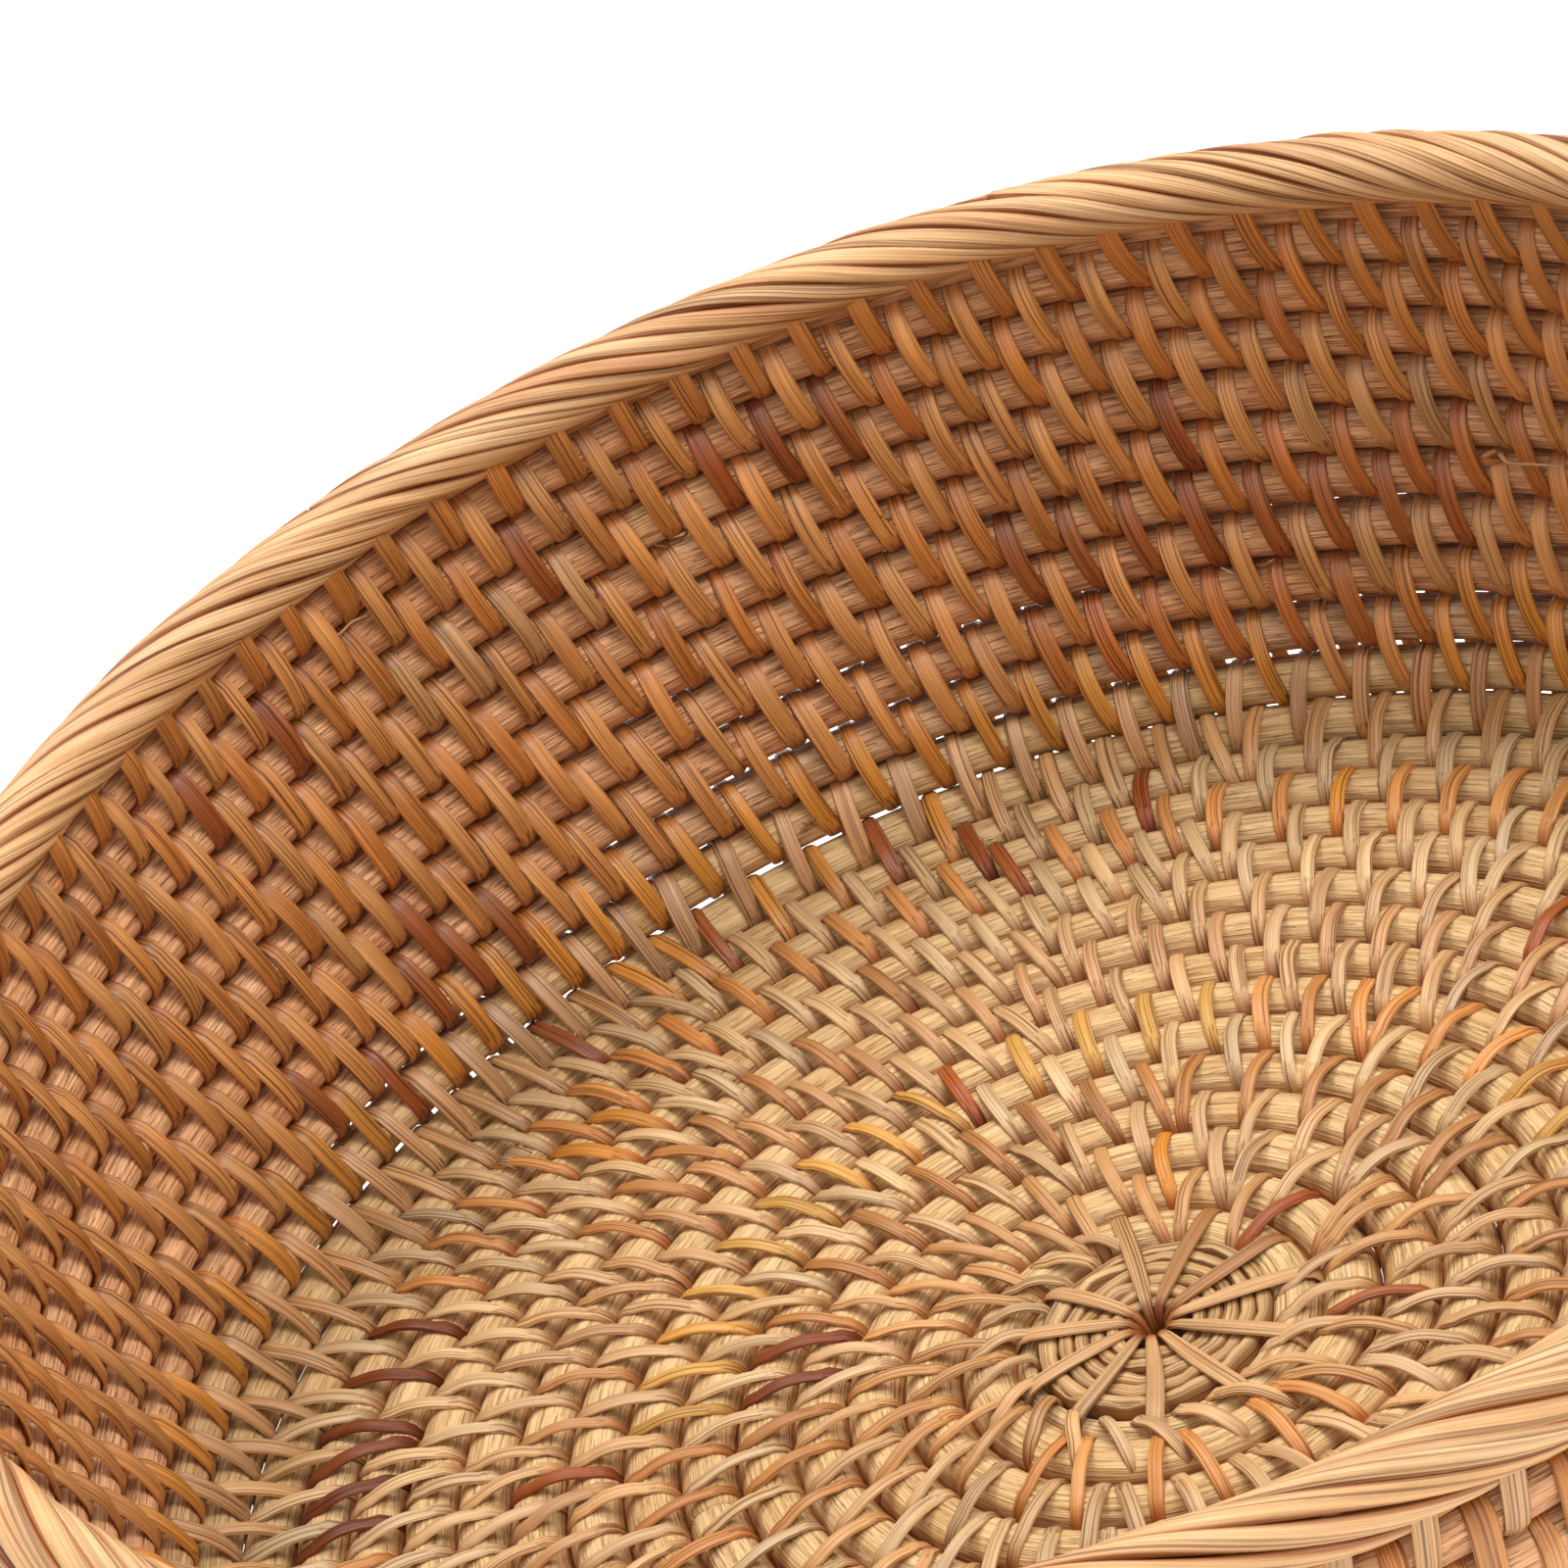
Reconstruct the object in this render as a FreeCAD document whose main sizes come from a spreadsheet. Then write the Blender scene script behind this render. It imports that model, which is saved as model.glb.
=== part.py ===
# Coiled rattan winnowing basket, millimetres, +Z up.
# Origin: centre of the flat underside, on the surface that the basket stands on.
# A continuous round rattan rod is coiled from the centre of the base out to the
# wall and up to the rim.  Narrow peel strips lash each turn to the turn before
# it, and ten twisted reeds cover a core rod as the rim border.
import FreeCAD, Part
import math
import os
from FreeCAD import Vector

os.makedirs("parts", exist_ok=True)

doc = FreeCAD.newDocument("winnowing_basket")
sheet = doc.addObject("Spreadsheet::Sheet", "Sizes")
sheet.Label = "Sizes"
SIZES = [
    ("coil_pitch", "8.0", "spacing of one turn of the coil to the next"),
    ("rod_radius", "3.3", "round foundation rod"),
    ("strip_width", "2.5", "peel strip"),
    ("strip_thick", "0.5", "peel strip"),
    ("strip_clear", "0.1", "room between a rod and the strip round it"),
    ("strip_spacing", "8.9", "stitch to stitch along a row"),
    ("strip_lean", "1.44", "forward lean of a stitch over one coil pitch"),
    ("strip_room", "2.9", "least spacing of two stitches on one rod"),
    ("first_turn", "2.39", "start of the first full rod, in coil pitches from the centre"),
    ("base_turns", "15.57", "flat part of the base, in coil pitches"),
    ("bend_turns", "2.05", "tight bend from base to wall, in coil pitches"),
    ("bend_angle", "73.9", "wall slope just above the bend, degrees"),
    ("lip_angle", "94.3", "wall slope at the rim, degrees"),
    ("lip_turn", "28.0", "where the wall reaches that slope, in coil pitches"),
    ("rod_halfturns", "49", "half turns of full rod"),
    ("rim_radius", "143.9", "rim centreline, plan"),
    ("rim_rise", "90.96", "rim centreline above the base rods' centres"),
    ("rim_core_radius", "2.85", "core rod inside the border"),
    ("reed_radius", "1.15", "one twisted reed"),
    ("reed_helix", "4.1", "radius on which the reeds lie round the core"),
    ("reed_count", "10", "reeds in the border"),
    ("reed_twists", "10", "twists of the border round the rim"),
    ("hub_coil_pitch", "2.2", "thin starter coil"),
    ("hub_coil_thick", "1.9", "thin starter coil"),
    ("hub_coil_height", "5.8", "thin starter coil"),
    ("hub_hole", "3.3", "radius inside the starter coil"),
    ("hub_strands", "11", "long stitches from the centre hole"),
]
for k, (alias, value, note) in enumerate(SIZES):
    row = k + 1
    sheet.set("A%d" % row, alias)
    sheet.set("B%d" % row, value)
    sheet.set("C%d" % row, note)
    sheet.setAlias("B%d" % row, alias)
# height of the base rods' centres above the ground
sheet.set("A%d" % (len(SIZES) + 1), "base_rise")
sheet.set("B%d" % (len(SIZES) + 1), "=rod_radius + strip_clear + strip_thick")
sheet.setAlias("B%d" % (len(SIZES) + 1), "base_rise")
doc.recompute()


def size(alias):
    return float(sheet.get(alias))


P = size("coil_pitch")
ROD = size("rod_radius")
W = size("strip_width")
T = size("strip_thick")
C = size("strip_clear")
SPACING = size("strip_spacing")
LEAN = size("strip_lean")
ROOM = size("strip_room")
S0 = size("first_turn")
Z0 = size("base_rise")
NH = int(round(size("rod_halfturns")))
RIM_R = size("rim_radius")
RIM_Z = size("rim_rise") + Z0
Y = Vector(0, 1, 0)

# ---------------------------------------------------------------- profile
# Radial section of the coil: flat base, tight bend, gently bellied wall.
S1 = size("base_turns")
LC = size("bend_turns")
B1 = math.radians(size("bend_angle"))
B2 = math.radians(size("lip_angle"))
S2 = size("lip_turn")
STEP = 0.01
_tab = [(0.0, 0.0)]
for _k in range(3100):
    _s = (_k + 0.5) * STEP
    if _s < S1:
        _a = 0.0
    elif _s < S1 + LC:
        _a = B1 * (_s - S1) / LC
    else:
        _a = B1 + (B2 - B1) * (_s - S1 - LC) / (S2 - S1 - LC)
    _r, _z = _tab[-1]
    _tab.append((_r + STEP * math.cos(_a), _z + STEP * math.sin(_a)))


def profile(s):
    x = s / STEP
    i = min(int(x), len(_tab) - 2)
    f = x - i
    r = _tab[i][0] * (1 - f) + _tab[i + 1][0] * f
    z = _tab[i][1] * (1 - f) + _tab[i + 1][1] * f
    return r * P, z * P + Z0


# Half-turn knots of the coil.  Each half turn is an exact semicircle whose
# ends meet the next one with the same tangent.
KNOTS = []
for _i in range(NH + 3):
    _r, _z = profile(S0 + _i / 2.0)
    KNOTS.append(Vector(_r if _i % 2 == 0 else -_r, 0, _z))


def half(i, a=None, b=None):
    a = KNOTS[i] if a is None else a
    b = KNOTS[i + 1] if b is None else b
    m = (a + b) * 0.5
    r = (a - b).Length / 2.0
    d = (a - b) * (0.5 / r)
    y = Y if i % 2 == 0 else Y * -1
    return m, r, d, y


TAPER_END = Vector()


def on_coil(ang):
    """centre, tangent and plan radius of the coil at a running angle"""
    i = int(ang / math.pi)
    i = min(i, NH)
    th = ang - i * math.pi
    if i >= NH:
        m, r, d, y = half(i, KNOTS[NH], TAPER_END)
    else:
        m, r, d, y = half(i)
    c, s = math.cos(th), math.sin(th)
    return m + d * (r * c) + y * (r * s), d * (-s) + y * c, r


def arc_edge(m, r, d, y, t0, t1):
    def at(t):
        return m + d * (r * math.cos(t)) + y * (r * math.sin(t))
    return Part.Arc(at(t0), at(0.5 * (t0 + t1)), at(t1)).toShape()


def tube(edges, start, tangent, radius):
    wire = Part.Wire(edges)
    prof = Part.Wire([Part.Circle(start, tangent, radius).toShape()])
    return wire.makePipeShell([prof], True, False)


# ---------------------------------------------------------------- sub-parts
PARTS = []


def add(label, shapes):
    shape = shapes[0] if len(shapes) == 1 else Part.makeCompound(shapes)
    obj = doc.addObject("Part::Feature", label)
    obj.Label = label
    obj.Shape = shape
    obj.Placement = FreeCAD.Placement(Vector(0, 0, 0), FreeCAD.Rotation())
    PARTS.append(obj)
    return obj


# Foundation rod, in the lengths it is joined from.
JOINT_GAP = 0.15
LENGTHS = [(0, 11), (11, 20), (20, 27), (27, 32), (32, 37), (37, 43), (43, 49)]
for n, (i0, i1) in enumerate(LENGTHS):
    edges = []
    first = None
    for i in range(i0, i1):
        m, r, d, y = half(i)
        t0 = JOINT_GAP / r if (i == i0 and i0 > 0) else 0.0
        t1 = math.pi - (JOINT_GAP / r if i == i1 - 1 else 0.0)
        edges.append(arc_edge(m, r, d, y, t0, t1))
        if first is None:
            first = (m + d * (r * math.cos(t0)) + y * (r * math.sin(t0)),
                     d * (-math.sin(t0)) + y * math.cos(t0))
    add("foundation_%02d" % (n + 1), [tube(edges, first[0], first[1], ROD)])

# Tapered tail that brings the top turn in under the level rim.
low = KNOTS[NH - 1]
rim_pt = Vector(RIM_R if (NH + 1) % 2 == 0 else -RIM_R, 0, RIM_Z)
low = Vector(abs(low.x) * (1 if rim_pt.x > 0 else -1), 0, low.z)
reach = (rim_pt - low).Length
REED_OUT = size("reed_helix") + size("reed_radius")
tail_r = (reach - ROD - REED_OUT - 0.3) / 2.0
TAPER_END = low + (rim_pt - low) * ((ROD + 0.15 + tail_r) / reach)
m, r, d, y = half(NH, KNOTS[NH], TAPER_END)
NSEG = 6
tail = []
for k in range(NSEG):
    ra = ROD + (tail_r - ROD) * (k + 0.0) / NSEG
    t0 = math.pi * k / NSEG + (0.15 / r if k == 0 else 0.0)
    t1 = math.pi * (k + 1) / NSEG - 0.02 / r
    rb = ROD + (tail_r - ROD) * (k + 1.0) / NSEG
    edge = arc_edge(m, r, d, y, t0, t1)

    def at(t):
        return m + d * (r * math.cos(t)) + y * (r * math.sin(t))

    def tan(t):
        return d * (-math.sin(t)) + y * math.cos(t)
    prof = Part.Wire([Part.Circle(at(t0), tan(t0), 0.5 * (ra + rb)).toShape()])
    tail.append(Part.Wire([edge]).makePipeShell([prof], True, False))
add("foundation_tail", tail)

# Thin starter coil: a flat strip wound on edge, and short filler lengths in the
# wedge between it and the first full turn.
HP = size("hub_coil_pitch")
HT = size("hub_coil_thick")
HH = size("hub_coil_height")
HOLE = size("hub_hole")


def strip_pipe(edges, start, tangent):
    up = Vector(0, 0, 1)
    out = tangent.cross(up)
    out.normalize()
    a = start + out * (HT / 2) + up * (HH / 2)
    b = start - out * (HT / 2) + up * (HH / 2)
    c = start - out * (HT / 2) - up * (HH / 2)
    e = start + out * (HT / 2) - up * (HH / 2)
    prof = Part.makePolygon([a, b, c, e, a])
    return Part.Wire(edges).makePipeShell([prof], True, False)


hub_knots = []
HUB_HALVES = 10
for i in range(HUB_HALVES + 1):
    rr = HOLE + HT / 2 + HP * i / 2.0
    hub_knots.append(Vector(rr if i % 2 == 0 else -rr, 0, Z0))
edges = []
for i in range(HUB_HALVES):
    m, r, d, y = half(i, hub_knots[i], hub_knots[i + 1])
    edges.append(arc_edge(m, r, d, y, 0.0, math.pi))
hub = [strip_pipe(edges, hub_knots[0], Y)]
hub_outer = abs(hub_knots[-1].x) + HT / 2 + 0.1
for lane in range(3):
    off = ROD + 0.25 + HT / 2 + HP * lane
    for i in (0, 1):
        m, r, d, y = half(i)
        rr = r - off
        inner = rr - HT / 2
        start = None
        for k in range(181):
            t = math.pi * k / 180.0
            p = m + d * (inner * math.cos(t)) + y * (inner * math.sin(t))
            if math.hypot(p.x, p.y) > hub_outer:
                start = t
                break
        if start is None:
            continue
        t0 = start + 0.02
        t1 = math.pi - (0.02 if i == 0 else 4.2 / rr)
        if (t1 - t0) * rr < 4.0:
            continue
        p0 = m + d * (rr * math.cos(t0)) + y * (rr * math.sin(t0))
        tg = d * (-math.sin(t0)) + y * math.cos(t0)
        hub.append(strip_pipe([arc_edge(m, rr, d, y, t0, t1)], p0, tg))
add("starter_coil", hub)

# ---------------------------------------------------------------- stitches


def loop_wire(ra, rb, dist):
    """belt outline round circles ra (at -dist/2) and rb (at +dist/2), in YZ"""
    g = math.asin(max(-1.0, min(1.0, (ra - rb) / dist)))
    ya, yb = -dist / 2.0, dist / 2.0
    a1 = Vector(0, ya + ra * math.sin(g), ra * math.cos(g))
    b1 = Vector(0, yb + rb * math.sin(g), rb * math.cos(g))
    a2 = Vector(0, a1.y, -a1.z)
    b2 = Vector(0, b1.y, -b1.z)
    e = [Part.LineSegment(a1, b1).toShape(),
         Part.Arc(b1, Vector(0, yb + rb, 0), b2).toShape(),
         Part.LineSegment(b2, a2).toShape(),
         Part.Arc(a2, Vector(0, ya - ra, 0), a1).toShape()]
    return Part.Wire(e)


_cache = {}


def band(dist, slope, ra, rb, width):
    key = (round(dist * 50), round(slope * 20), round(ra * 50), round(rb * 50),
           round(width * 50))
    if key in _cache:
        return _cache[key]
    dist, slope = key[0] / 50.0, key[1] / 20.0
    ra, rb, width = key[2] / 50.0, key[3] / 50.0, key[4] / 50.0
    outer = Part.Face(loop_wire(ra + C + T, rb + C + T, dist))
    inner = Part.Face(loop_wire(ra + C, rb + C, dist))
    ring = outer.cut(inner)
    half_x = abs(slope) * (dist / 2.0 + max(ra, rb) + C + T) + width + 1.0
    ring.translate(Vector(-half_x, 0, 0))
    solid = ring.extrude(Vector(2 * half_x, 0, 0))
    yy = dist / 2.0 + 6.0
    wx = 0.5 * width * math.sqrt(1.0 + slope * slope)
    pts = [Vector(-wx - slope * yy, -yy, -8), Vector(wx - slope * yy, -yy, -8),
           Vector(wx + slope * yy, yy, -8), Vector(-wx + slope * yy, yy, -8)]
    slab = Part.Face(Part.makePolygon(pts + [pts[0]])).extrude(Vector(0, 0, 16))
    out = solid.common(slab).Solids[0]
    _cache[key] = out
    return out


def place(shape, org, x, y, z):
    mat = FreeCAD.Matrix(x.x, y.x, z.x, org.x,
                         x.y, y.y, z.y, org.y,
                         x.z, y.z, z.z, org.z,
                         0, 0, 0, 1)
    s = shape.copy()
    s.Placement = FreeCAD.Placement(mat)
    return s


# Long stitches from the centre hole over the starter coil and the first turn.
NS = int(round(size("hub_strands")))
strands = []
outer_ends = []
zt = ROD + C
for k in range(NS):
    ang = 2 * math.pi * (k + 0.5) / NS
    c, tg, _r = on_coil(ang)
    rc = math.hypot(c.x, c.y)
    az = math.atan2(c.y, c.x)
    outer_ends.append(ang)

    def sect(off, rin):
        rr = ROD + off
        return Part.Wire([
            Part.LineSegment(Vector(rin, 0, rr), Vector(rc, 0, rr)).toShape(),
            Part.Arc(Vector(rc, 0, rr), Vector(rc + rr, 0, 0), Vector(rc, 0, -rr)).toShape(),
            Part.LineSegment(Vector(rc, 0, -rr), Vector(rin, 0, -rr)).toShape(),
            Part.LineSegment(Vector(rin, 0, -rr), Vector(rin, 0, rr)).toShape()])
    face = Part.Face(sect(C + T, HOLE - 0.7)).cut(Part.Face(sect(C, HOLE - 0.2)))
    face.translate(Vector(0, -4, 0))
    body = face.extrude(Vector(0, 8, 0))
    w0, w1 = 0.55, W / 2.0
    pts = [Vector(1.5, -w0, -8), Vector(HOLE, -w0, -8), Vector(12, -w1, -8), Vector(rc + 6, -w1, -8),
           Vector(rc + 6, w1, -8), Vector(12, w1, -8), Vector(HOLE, w0, -8), Vector(1.5, w0, -8)]
    wedge = Part.Face(Part.makePolygon(pts + [pts[0]])).extrude(Vector(0, 0, 16))
    s = body.common(wedge).Solids[0]
    ca, sa = math.cos(az), math.sin(az)
    strands.append(place(s, Vector(0, 0, Z0), Vector(ca, sa, 0), Vector(-sa, ca, 0), Vector(0, 0, 1)))
add("centre_lashing", strands)

# Rows of stitches.  Row n binds turn n to turn n-1.  Each stitch passes the inner
# rod between two stitches of the row before.
TWO = 2 * math.pi
END = NH * math.pi + math.pi - 0.2
WALL_FROM = TWO * 15.4
ends = list(outer_ends)
stitches = []
gap_i = 0
prev_u = TWO * 1.0 - 0.25
prev_e = None
while True:
    c_out, _t, r_out = on_coil(min(prev_u, END))
    u = prev_u + SPACING / r_out
    if u > END:
        break
    c_in, _t2, r_in = on_coil(u - TWO)
    e = u - TWO - LEAN / r_out
    while gap_i + 1 < len(ends) - 1 and ends[gap_i + 1] <= e:
        gap_i += 1
    if gap_i + 1 >= len(ends):
        break
    tries = 0
    while True:
        lo, hi = ends[gap_i], ends[gap_i + 1]
        room = ROOM / r_in
        a = lo + room
        if prev_e is not None and prev_e + room > a:
            a = prev_e + room
        b = hi - room
        if a <= b + 0.25 / r_in:
            break
        gap_i += 1
        tries += 1
        if gap_i + 1 >= len(ends) or tries > 3:
            break
    if gap_i + 1 >= len(ends):
        break
    if u > WALL_FROM:
        want = lo + 0.35 * (hi - lo)
        e2 = max(a, min(b, want)) if a <= b else 0.5 * (a + b)
        u2 = e2 + TWO + LEAN / r_out
    else:
        want = 0.5 * e + 0.5 * (lo + 0.36 * (hi - lo))
        e2 = max(a, min(b, want)) if a <= b else 0.5 * (a + b)
        u2 = u + 0.55 * (e2 - e)
    lean = (u2 - TWO - e2) * r_out
    lean = max(-0.3, min(3.4, lean))
    u2 = e2 + TWO + lean / r_out
    if u2 - prev_u < 4.0 / r_out:
        u2 = prev_u + 4.0 / r_out
    stitches.append((u2, e2 + TWO))
    ends.append(u2)
    prev_u, prev_e = u2, e2

TIES_ROW = 12
rows = {}
for u, e in stitches:
    mid = 0.5 * (u + e)
    pb, tb, r_b = on_coil(mid)
    pa, ta, r_a = on_coil(mid - TWO)
    dv = pb - pa
    dist = dv.Length
    yv = dv * (1.0 / dist)
    xv = (ta + tb)
    xv = xv - yv * xv.dot(yv)
    xv.normalize()
    zv = xv.cross(yv)
    x_b = (u - mid) * r_b
    x_a = (e - mid) * r_a
    slope = (x_b - x_a) / dist
    rb = ROD
    if mid > NH * math.pi:
        f = min(1.0, (mid - NH * math.pi) / math.pi)
        rb = ROD + (tail_r - ROD) * f + 0.12
        if rb < tail_r:
            rb = tail_r
    org = (pa + pb) * 0.5 + xv * (0.5 * (x_a + x_b))
    width = W if r_b > 45 else (2.3 if r_b > 30 else 2.1)
    s = place(band(dist, slope, ROD, rb, width), org, xv, yv, zv)
    rows.setdefault(int(mid / TWO), []).append((mid, s))

for n in sorted(rows):
    items = rows[n]
    if n == TIES_ROW:
        step = len(items) / 8.0
        pick = set(int(k * step + 0.5) for k in range(8))
        add("lashing_row_%02d_ties" % n, [s for j, (_m, s) in enumerate(items) if j in pick])
        items = [v for j, v in enumerate(items) if j not in pick]
    add("lashing_row_%02d" % n, [s for _m, s in items])

# ---------------------------------------------------------------- rim
core = doc.addObject("Part::Torus", "rim_core")
core.Label = "rim_core"
core.setExpression("Radius1", "Sizes.rim_radius * 1mm")
core.setExpression("Radius2", "Sizes.rim_core_radius * 1mm")
core.setExpression("Placement.Base.z", "Sizes.rim_rise * 1mm + Sizes.base_rise * 1mm")
PARTS.append(core)

NR = int(round(size("reed_count")))
TW = size("reed_twists")
RH = size("reed_helix")
RR = size("reed_radius")


def reed_point(t, b0):
    a = TWO * t
    b = b0 - TW * a
    q = RIM_R + RH * math.cos(b)
    return Vector(q * math.cos(a), q * math.sin(a), RIM_Z + RH * math.sin(b))


def reed_tangent(t, b0):
    v = reed_point(t + 1e-5, b0) - reed_point(t - 1e-5, b0)
    v.normalize()
    return v


def arc_from(p, tg, q):
    """circular arc that leaves p along tg and reaches q"""
    w = q - p
    n = w - tg * w.dot(tg)
    if n.Length < 1e-7:
        return Part.LineSegment(p, q).toShape()
    n.normalize()
    rad = w.dot(w) / (2.0 * w.dot(n))
    cen = p + n * rad
    ang = math.atan2(w.dot(tg), rad - w.dot(n))
    mid = cen - n * (rad * math.cos(ang / 2)) + tg * (rad * math.sin(ang / 2))
    return Part.Arc(p, mid, q).toShape()


def tangent_pair(p0, t0, p1, t1):
    v = p1 - p0
    tt = t0 + t1
    qa = 2.0 * (1.0 - t0.dot(t1))
    qb = 2.0 * v.dot(tt)
    qc = -v.dot(v)
    dd = (-qb + math.sqrt(qb * qb - 4 * qa * qc)) / (2 * qa) if abs(qa) > 1e-12 else -qc / qb
    j = ((p0 + t0 * dd) + (p1 - t1 * dd)) * 0.5
    first = arc_from(p0, t0, j)
    back = arc_from(p1, t1 * -1, j)
    return [first, back]


REED_SPANS = int(round(4 * TW))
for k in range(NR):
    b0 = TWO * k / NR
    # the butt joints of the reeds are spread round the rim, three quarters of
    # a turn of the border apart, and sit on its outer underside
    shift = 0.08 + 0.061 * k
    edges = []
    for j in range(REED_SPANS):
        a = shift + j / float(REED_SPANS)
        b = shift + (j + 1) / float(REED_SPANS)
        if j == REED_SPANS - 1:
            b -= 0.0004
        edges += tangent_pair(reed_point(a, b0), reed_tangent(a, b0),
                              reed_point(b, b0), reed_tangent(b, b0))
    wire = Part.Wire(Part.__sortEdges__(edges))
    prof = Part.Wire([Part.Circle(reed_point(shift, b0), reed_tangent(shift, b0), RR).toShape()])
    add("rim_reed_%02d" % (k + 1), [wire.makePipeShell([prof], True, False)])

doc.recompute()

# ---------------------------------------------------------------- checks, export
for obj in doc.Objects:
    bad = [st for st in obj.State if st in ("Invalid", "Error")]
    if bad:
        raise RuntimeError("%s: %s" % (obj.Label, bad))
for obj in PARTS:
    sh = obj.Shape
    if sh.isNull() or not sh.isValid():
        raise RuntimeError("bad shape: " + obj.Label)
    if not sh.Solids:
        raise RuntimeError("no solid: " + obj.Label)
    for s in sh.Solids:
        if s.Volume <= 0:
            raise RuntimeError("inside-out solid: " + obj.Label)
total = 0
for obj in PARTS:
    obj.Shape.exportStep("parts/%s.step" % obj.Label)
    total += len(obj.Shape.Solids)
    bb = obj.Shape.BoundBox
    print("%-22s solids %4d volume %9.1f  r %6.1f  z %6.2f %6.2f" % (
        obj.Label, len(obj.Shape.Solids), obj.Shape.Volume, bb.XMax, bb.ZMin, bb.ZMax))
print("parts", len(PARTS), "solids", total, "tail radius %.2f" % tail_r)
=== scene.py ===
# Coiled rattan winnowing basket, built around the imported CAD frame.
# Metres in Blender, +Z up; the maths below is in millimetres and scaled at the end.
import math

import bpy
import numpy as np
from mathutils import Matrix, Vector


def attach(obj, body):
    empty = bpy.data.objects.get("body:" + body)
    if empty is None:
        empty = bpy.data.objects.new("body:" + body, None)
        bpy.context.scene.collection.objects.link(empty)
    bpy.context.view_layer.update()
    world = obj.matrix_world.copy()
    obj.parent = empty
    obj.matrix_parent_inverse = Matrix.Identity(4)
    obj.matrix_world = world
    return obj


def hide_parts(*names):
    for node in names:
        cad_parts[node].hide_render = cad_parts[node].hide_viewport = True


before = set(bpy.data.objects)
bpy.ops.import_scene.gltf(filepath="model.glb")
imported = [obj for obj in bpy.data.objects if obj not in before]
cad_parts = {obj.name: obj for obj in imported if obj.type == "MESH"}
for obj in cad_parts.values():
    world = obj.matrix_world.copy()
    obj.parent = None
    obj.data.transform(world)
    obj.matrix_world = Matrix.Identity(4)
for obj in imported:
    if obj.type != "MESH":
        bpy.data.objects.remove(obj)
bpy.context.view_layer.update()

PI = math.pi
TWO = 2 * math.pi

# ------------------------------------------------------------------ the coil
P, ROD, S0, NH = 8.0, 3.3, 2.39, 49
SPACING, LEAN, ROOM = 8.9, 1.44, 2.9
Z0 = 3.9
S1, LC, B1, B2, S2 = 15.57, 2.05, math.radians(73.9), math.radians(94.3), 28.0
RIM_R, RIM_Z = 143.9, 90.96 + Z0

_st = 0.01
_mid = (np.arange(3100) + 0.5) * _st
_ang = np.where(_mid < S1, 0.0, np.where(_mid < S1 + LC, B1 * (_mid - S1) / LC,
                B1 + (B2 - B1) * (_mid - S1 - LC) / (S2 - S1 - LC)))
TAB_S = np.arange(3101) * _st
TAB_R = np.concatenate([[0], np.cumsum(np.cos(_ang)) * _st])
TAB_Z = np.concatenate([[0], np.cumsum(np.sin(_ang)) * _st])


def slope_at(s):
    return np.interp(s, _mid, _ang)


def knot(i):
    s = S0 + i / 2.0
    r = float(np.interp(s, TAB_S, TAB_R)) * P
    z = float(np.interp(s, TAB_S, TAB_Z)) * P + Z0
    return (r if i % 2 == 0 else -r), z


AX = np.array([knot(i)[0] for i in range(NH + 1)])
AZ = np.array([knot(i)[1] for i in range(NH + 1)])
BX = np.array([knot(i + 1)[0] for i in range(NH + 1)])
BZ = np.array([knot(i + 1)[1] for i in range(NH + 1)])
# the last half turn is the tapered tail, which ends just under the rim
_low = np.array([abs(AX[NH - 1]) * (1 if (NH + 1) % 2 == 0 else -1), AZ[NH - 1]])
_rim = np.array([RIM_R if (NH + 1) % 2 == 0 else -RIM_R, RIM_Z])
_reach = float(np.hypot(*(_rim - _low)))
TAIL_R = (_reach - ROD - 5.25 - 0.3) / 2.0
_end = _low + (_rim - _low) * ((ROD + 0.15 + TAIL_R) / _reach)
BX[NH], BZ[NH] = _end


def coil_plain(ang):
    """centres, unit tangents and plan radii of the coil at running angles"""
    ang = np.atleast_1d(np.asarray(ang, float))
    i = np.clip(np.floor(ang / PI).astype(int), 0, NH)
    th = ang - i * PI
    mx, mz = (AX[i] + BX[i]) / 2, (AZ[i] + BZ[i]) / 2
    dx, dz = (AX[i] - BX[i]) / 2, (AZ[i] - BZ[i]) / 2
    r = np.hypot(dx, dz)
    ys = np.where(i % 2 == 0, 1.0, -1.0)
    c, s = np.cos(th), np.sin(th)
    pos = np.stack([mx + dx * c, ys * r * s, mz + dz * c], -1)
    tan = np.stack([-dx * s, ys * r * c, -dz * s], -1) / r[:, None]
    return pos, tan, r


def wander(x, seed, period, terms=5):
    """smooth seeded wander, roughly within -1..1"""
    rr = np.random.default_rng(seed)
    out = np.zeros_like(np.asarray(x, float))
    tot = 0.0
    for k in range(terms):
        w = TWO / period * (0.6 + 0.75 * k) * rr.uniform(0.85, 1.15)
        a = 1.0 / (1.0 + 0.45 * k)
        out = out + a * np.sin(np.asarray(x) * w + rr.uniform(0, TWO))
        tot += a
    return out / (0.62 * tot)


# running length along the coil, for even steps and for the grain
_u = np.linspace(0, (NH + 3) * PI, 60001)
_r = coil_plain(np.minimum(_u, (NH + 1) * PI))[2]
LEN_U = _u
LEN_L = np.concatenate([[0], np.cumsum((_r[1:] + _r[:-1]) / 2 * np.diff(_u))])


def length_at(ang):
    return np.interp(ang, LEN_U, LEN_L)


def unit(v):
    return v / np.maximum(np.linalg.norm(v, axis=-1, keepdims=True), 1e-12)


def cross_dir(pos, tan, ang):
    """y points to the next turn, z to the outside or underside of the basket"""
    s = S0 + ang / TWO
    a = slope_at(s)
    ph = np.arctan2(pos[:, 1], pos[:, 0])
    y = np.stack([np.cos(ph) * np.cos(a), np.sin(ph) * np.cos(a), np.sin(a)], -1)
    y = unit(y - tan * np.sum(y * tan, -1, keepdims=True))
    return y, np.cross(tan, y)


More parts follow.
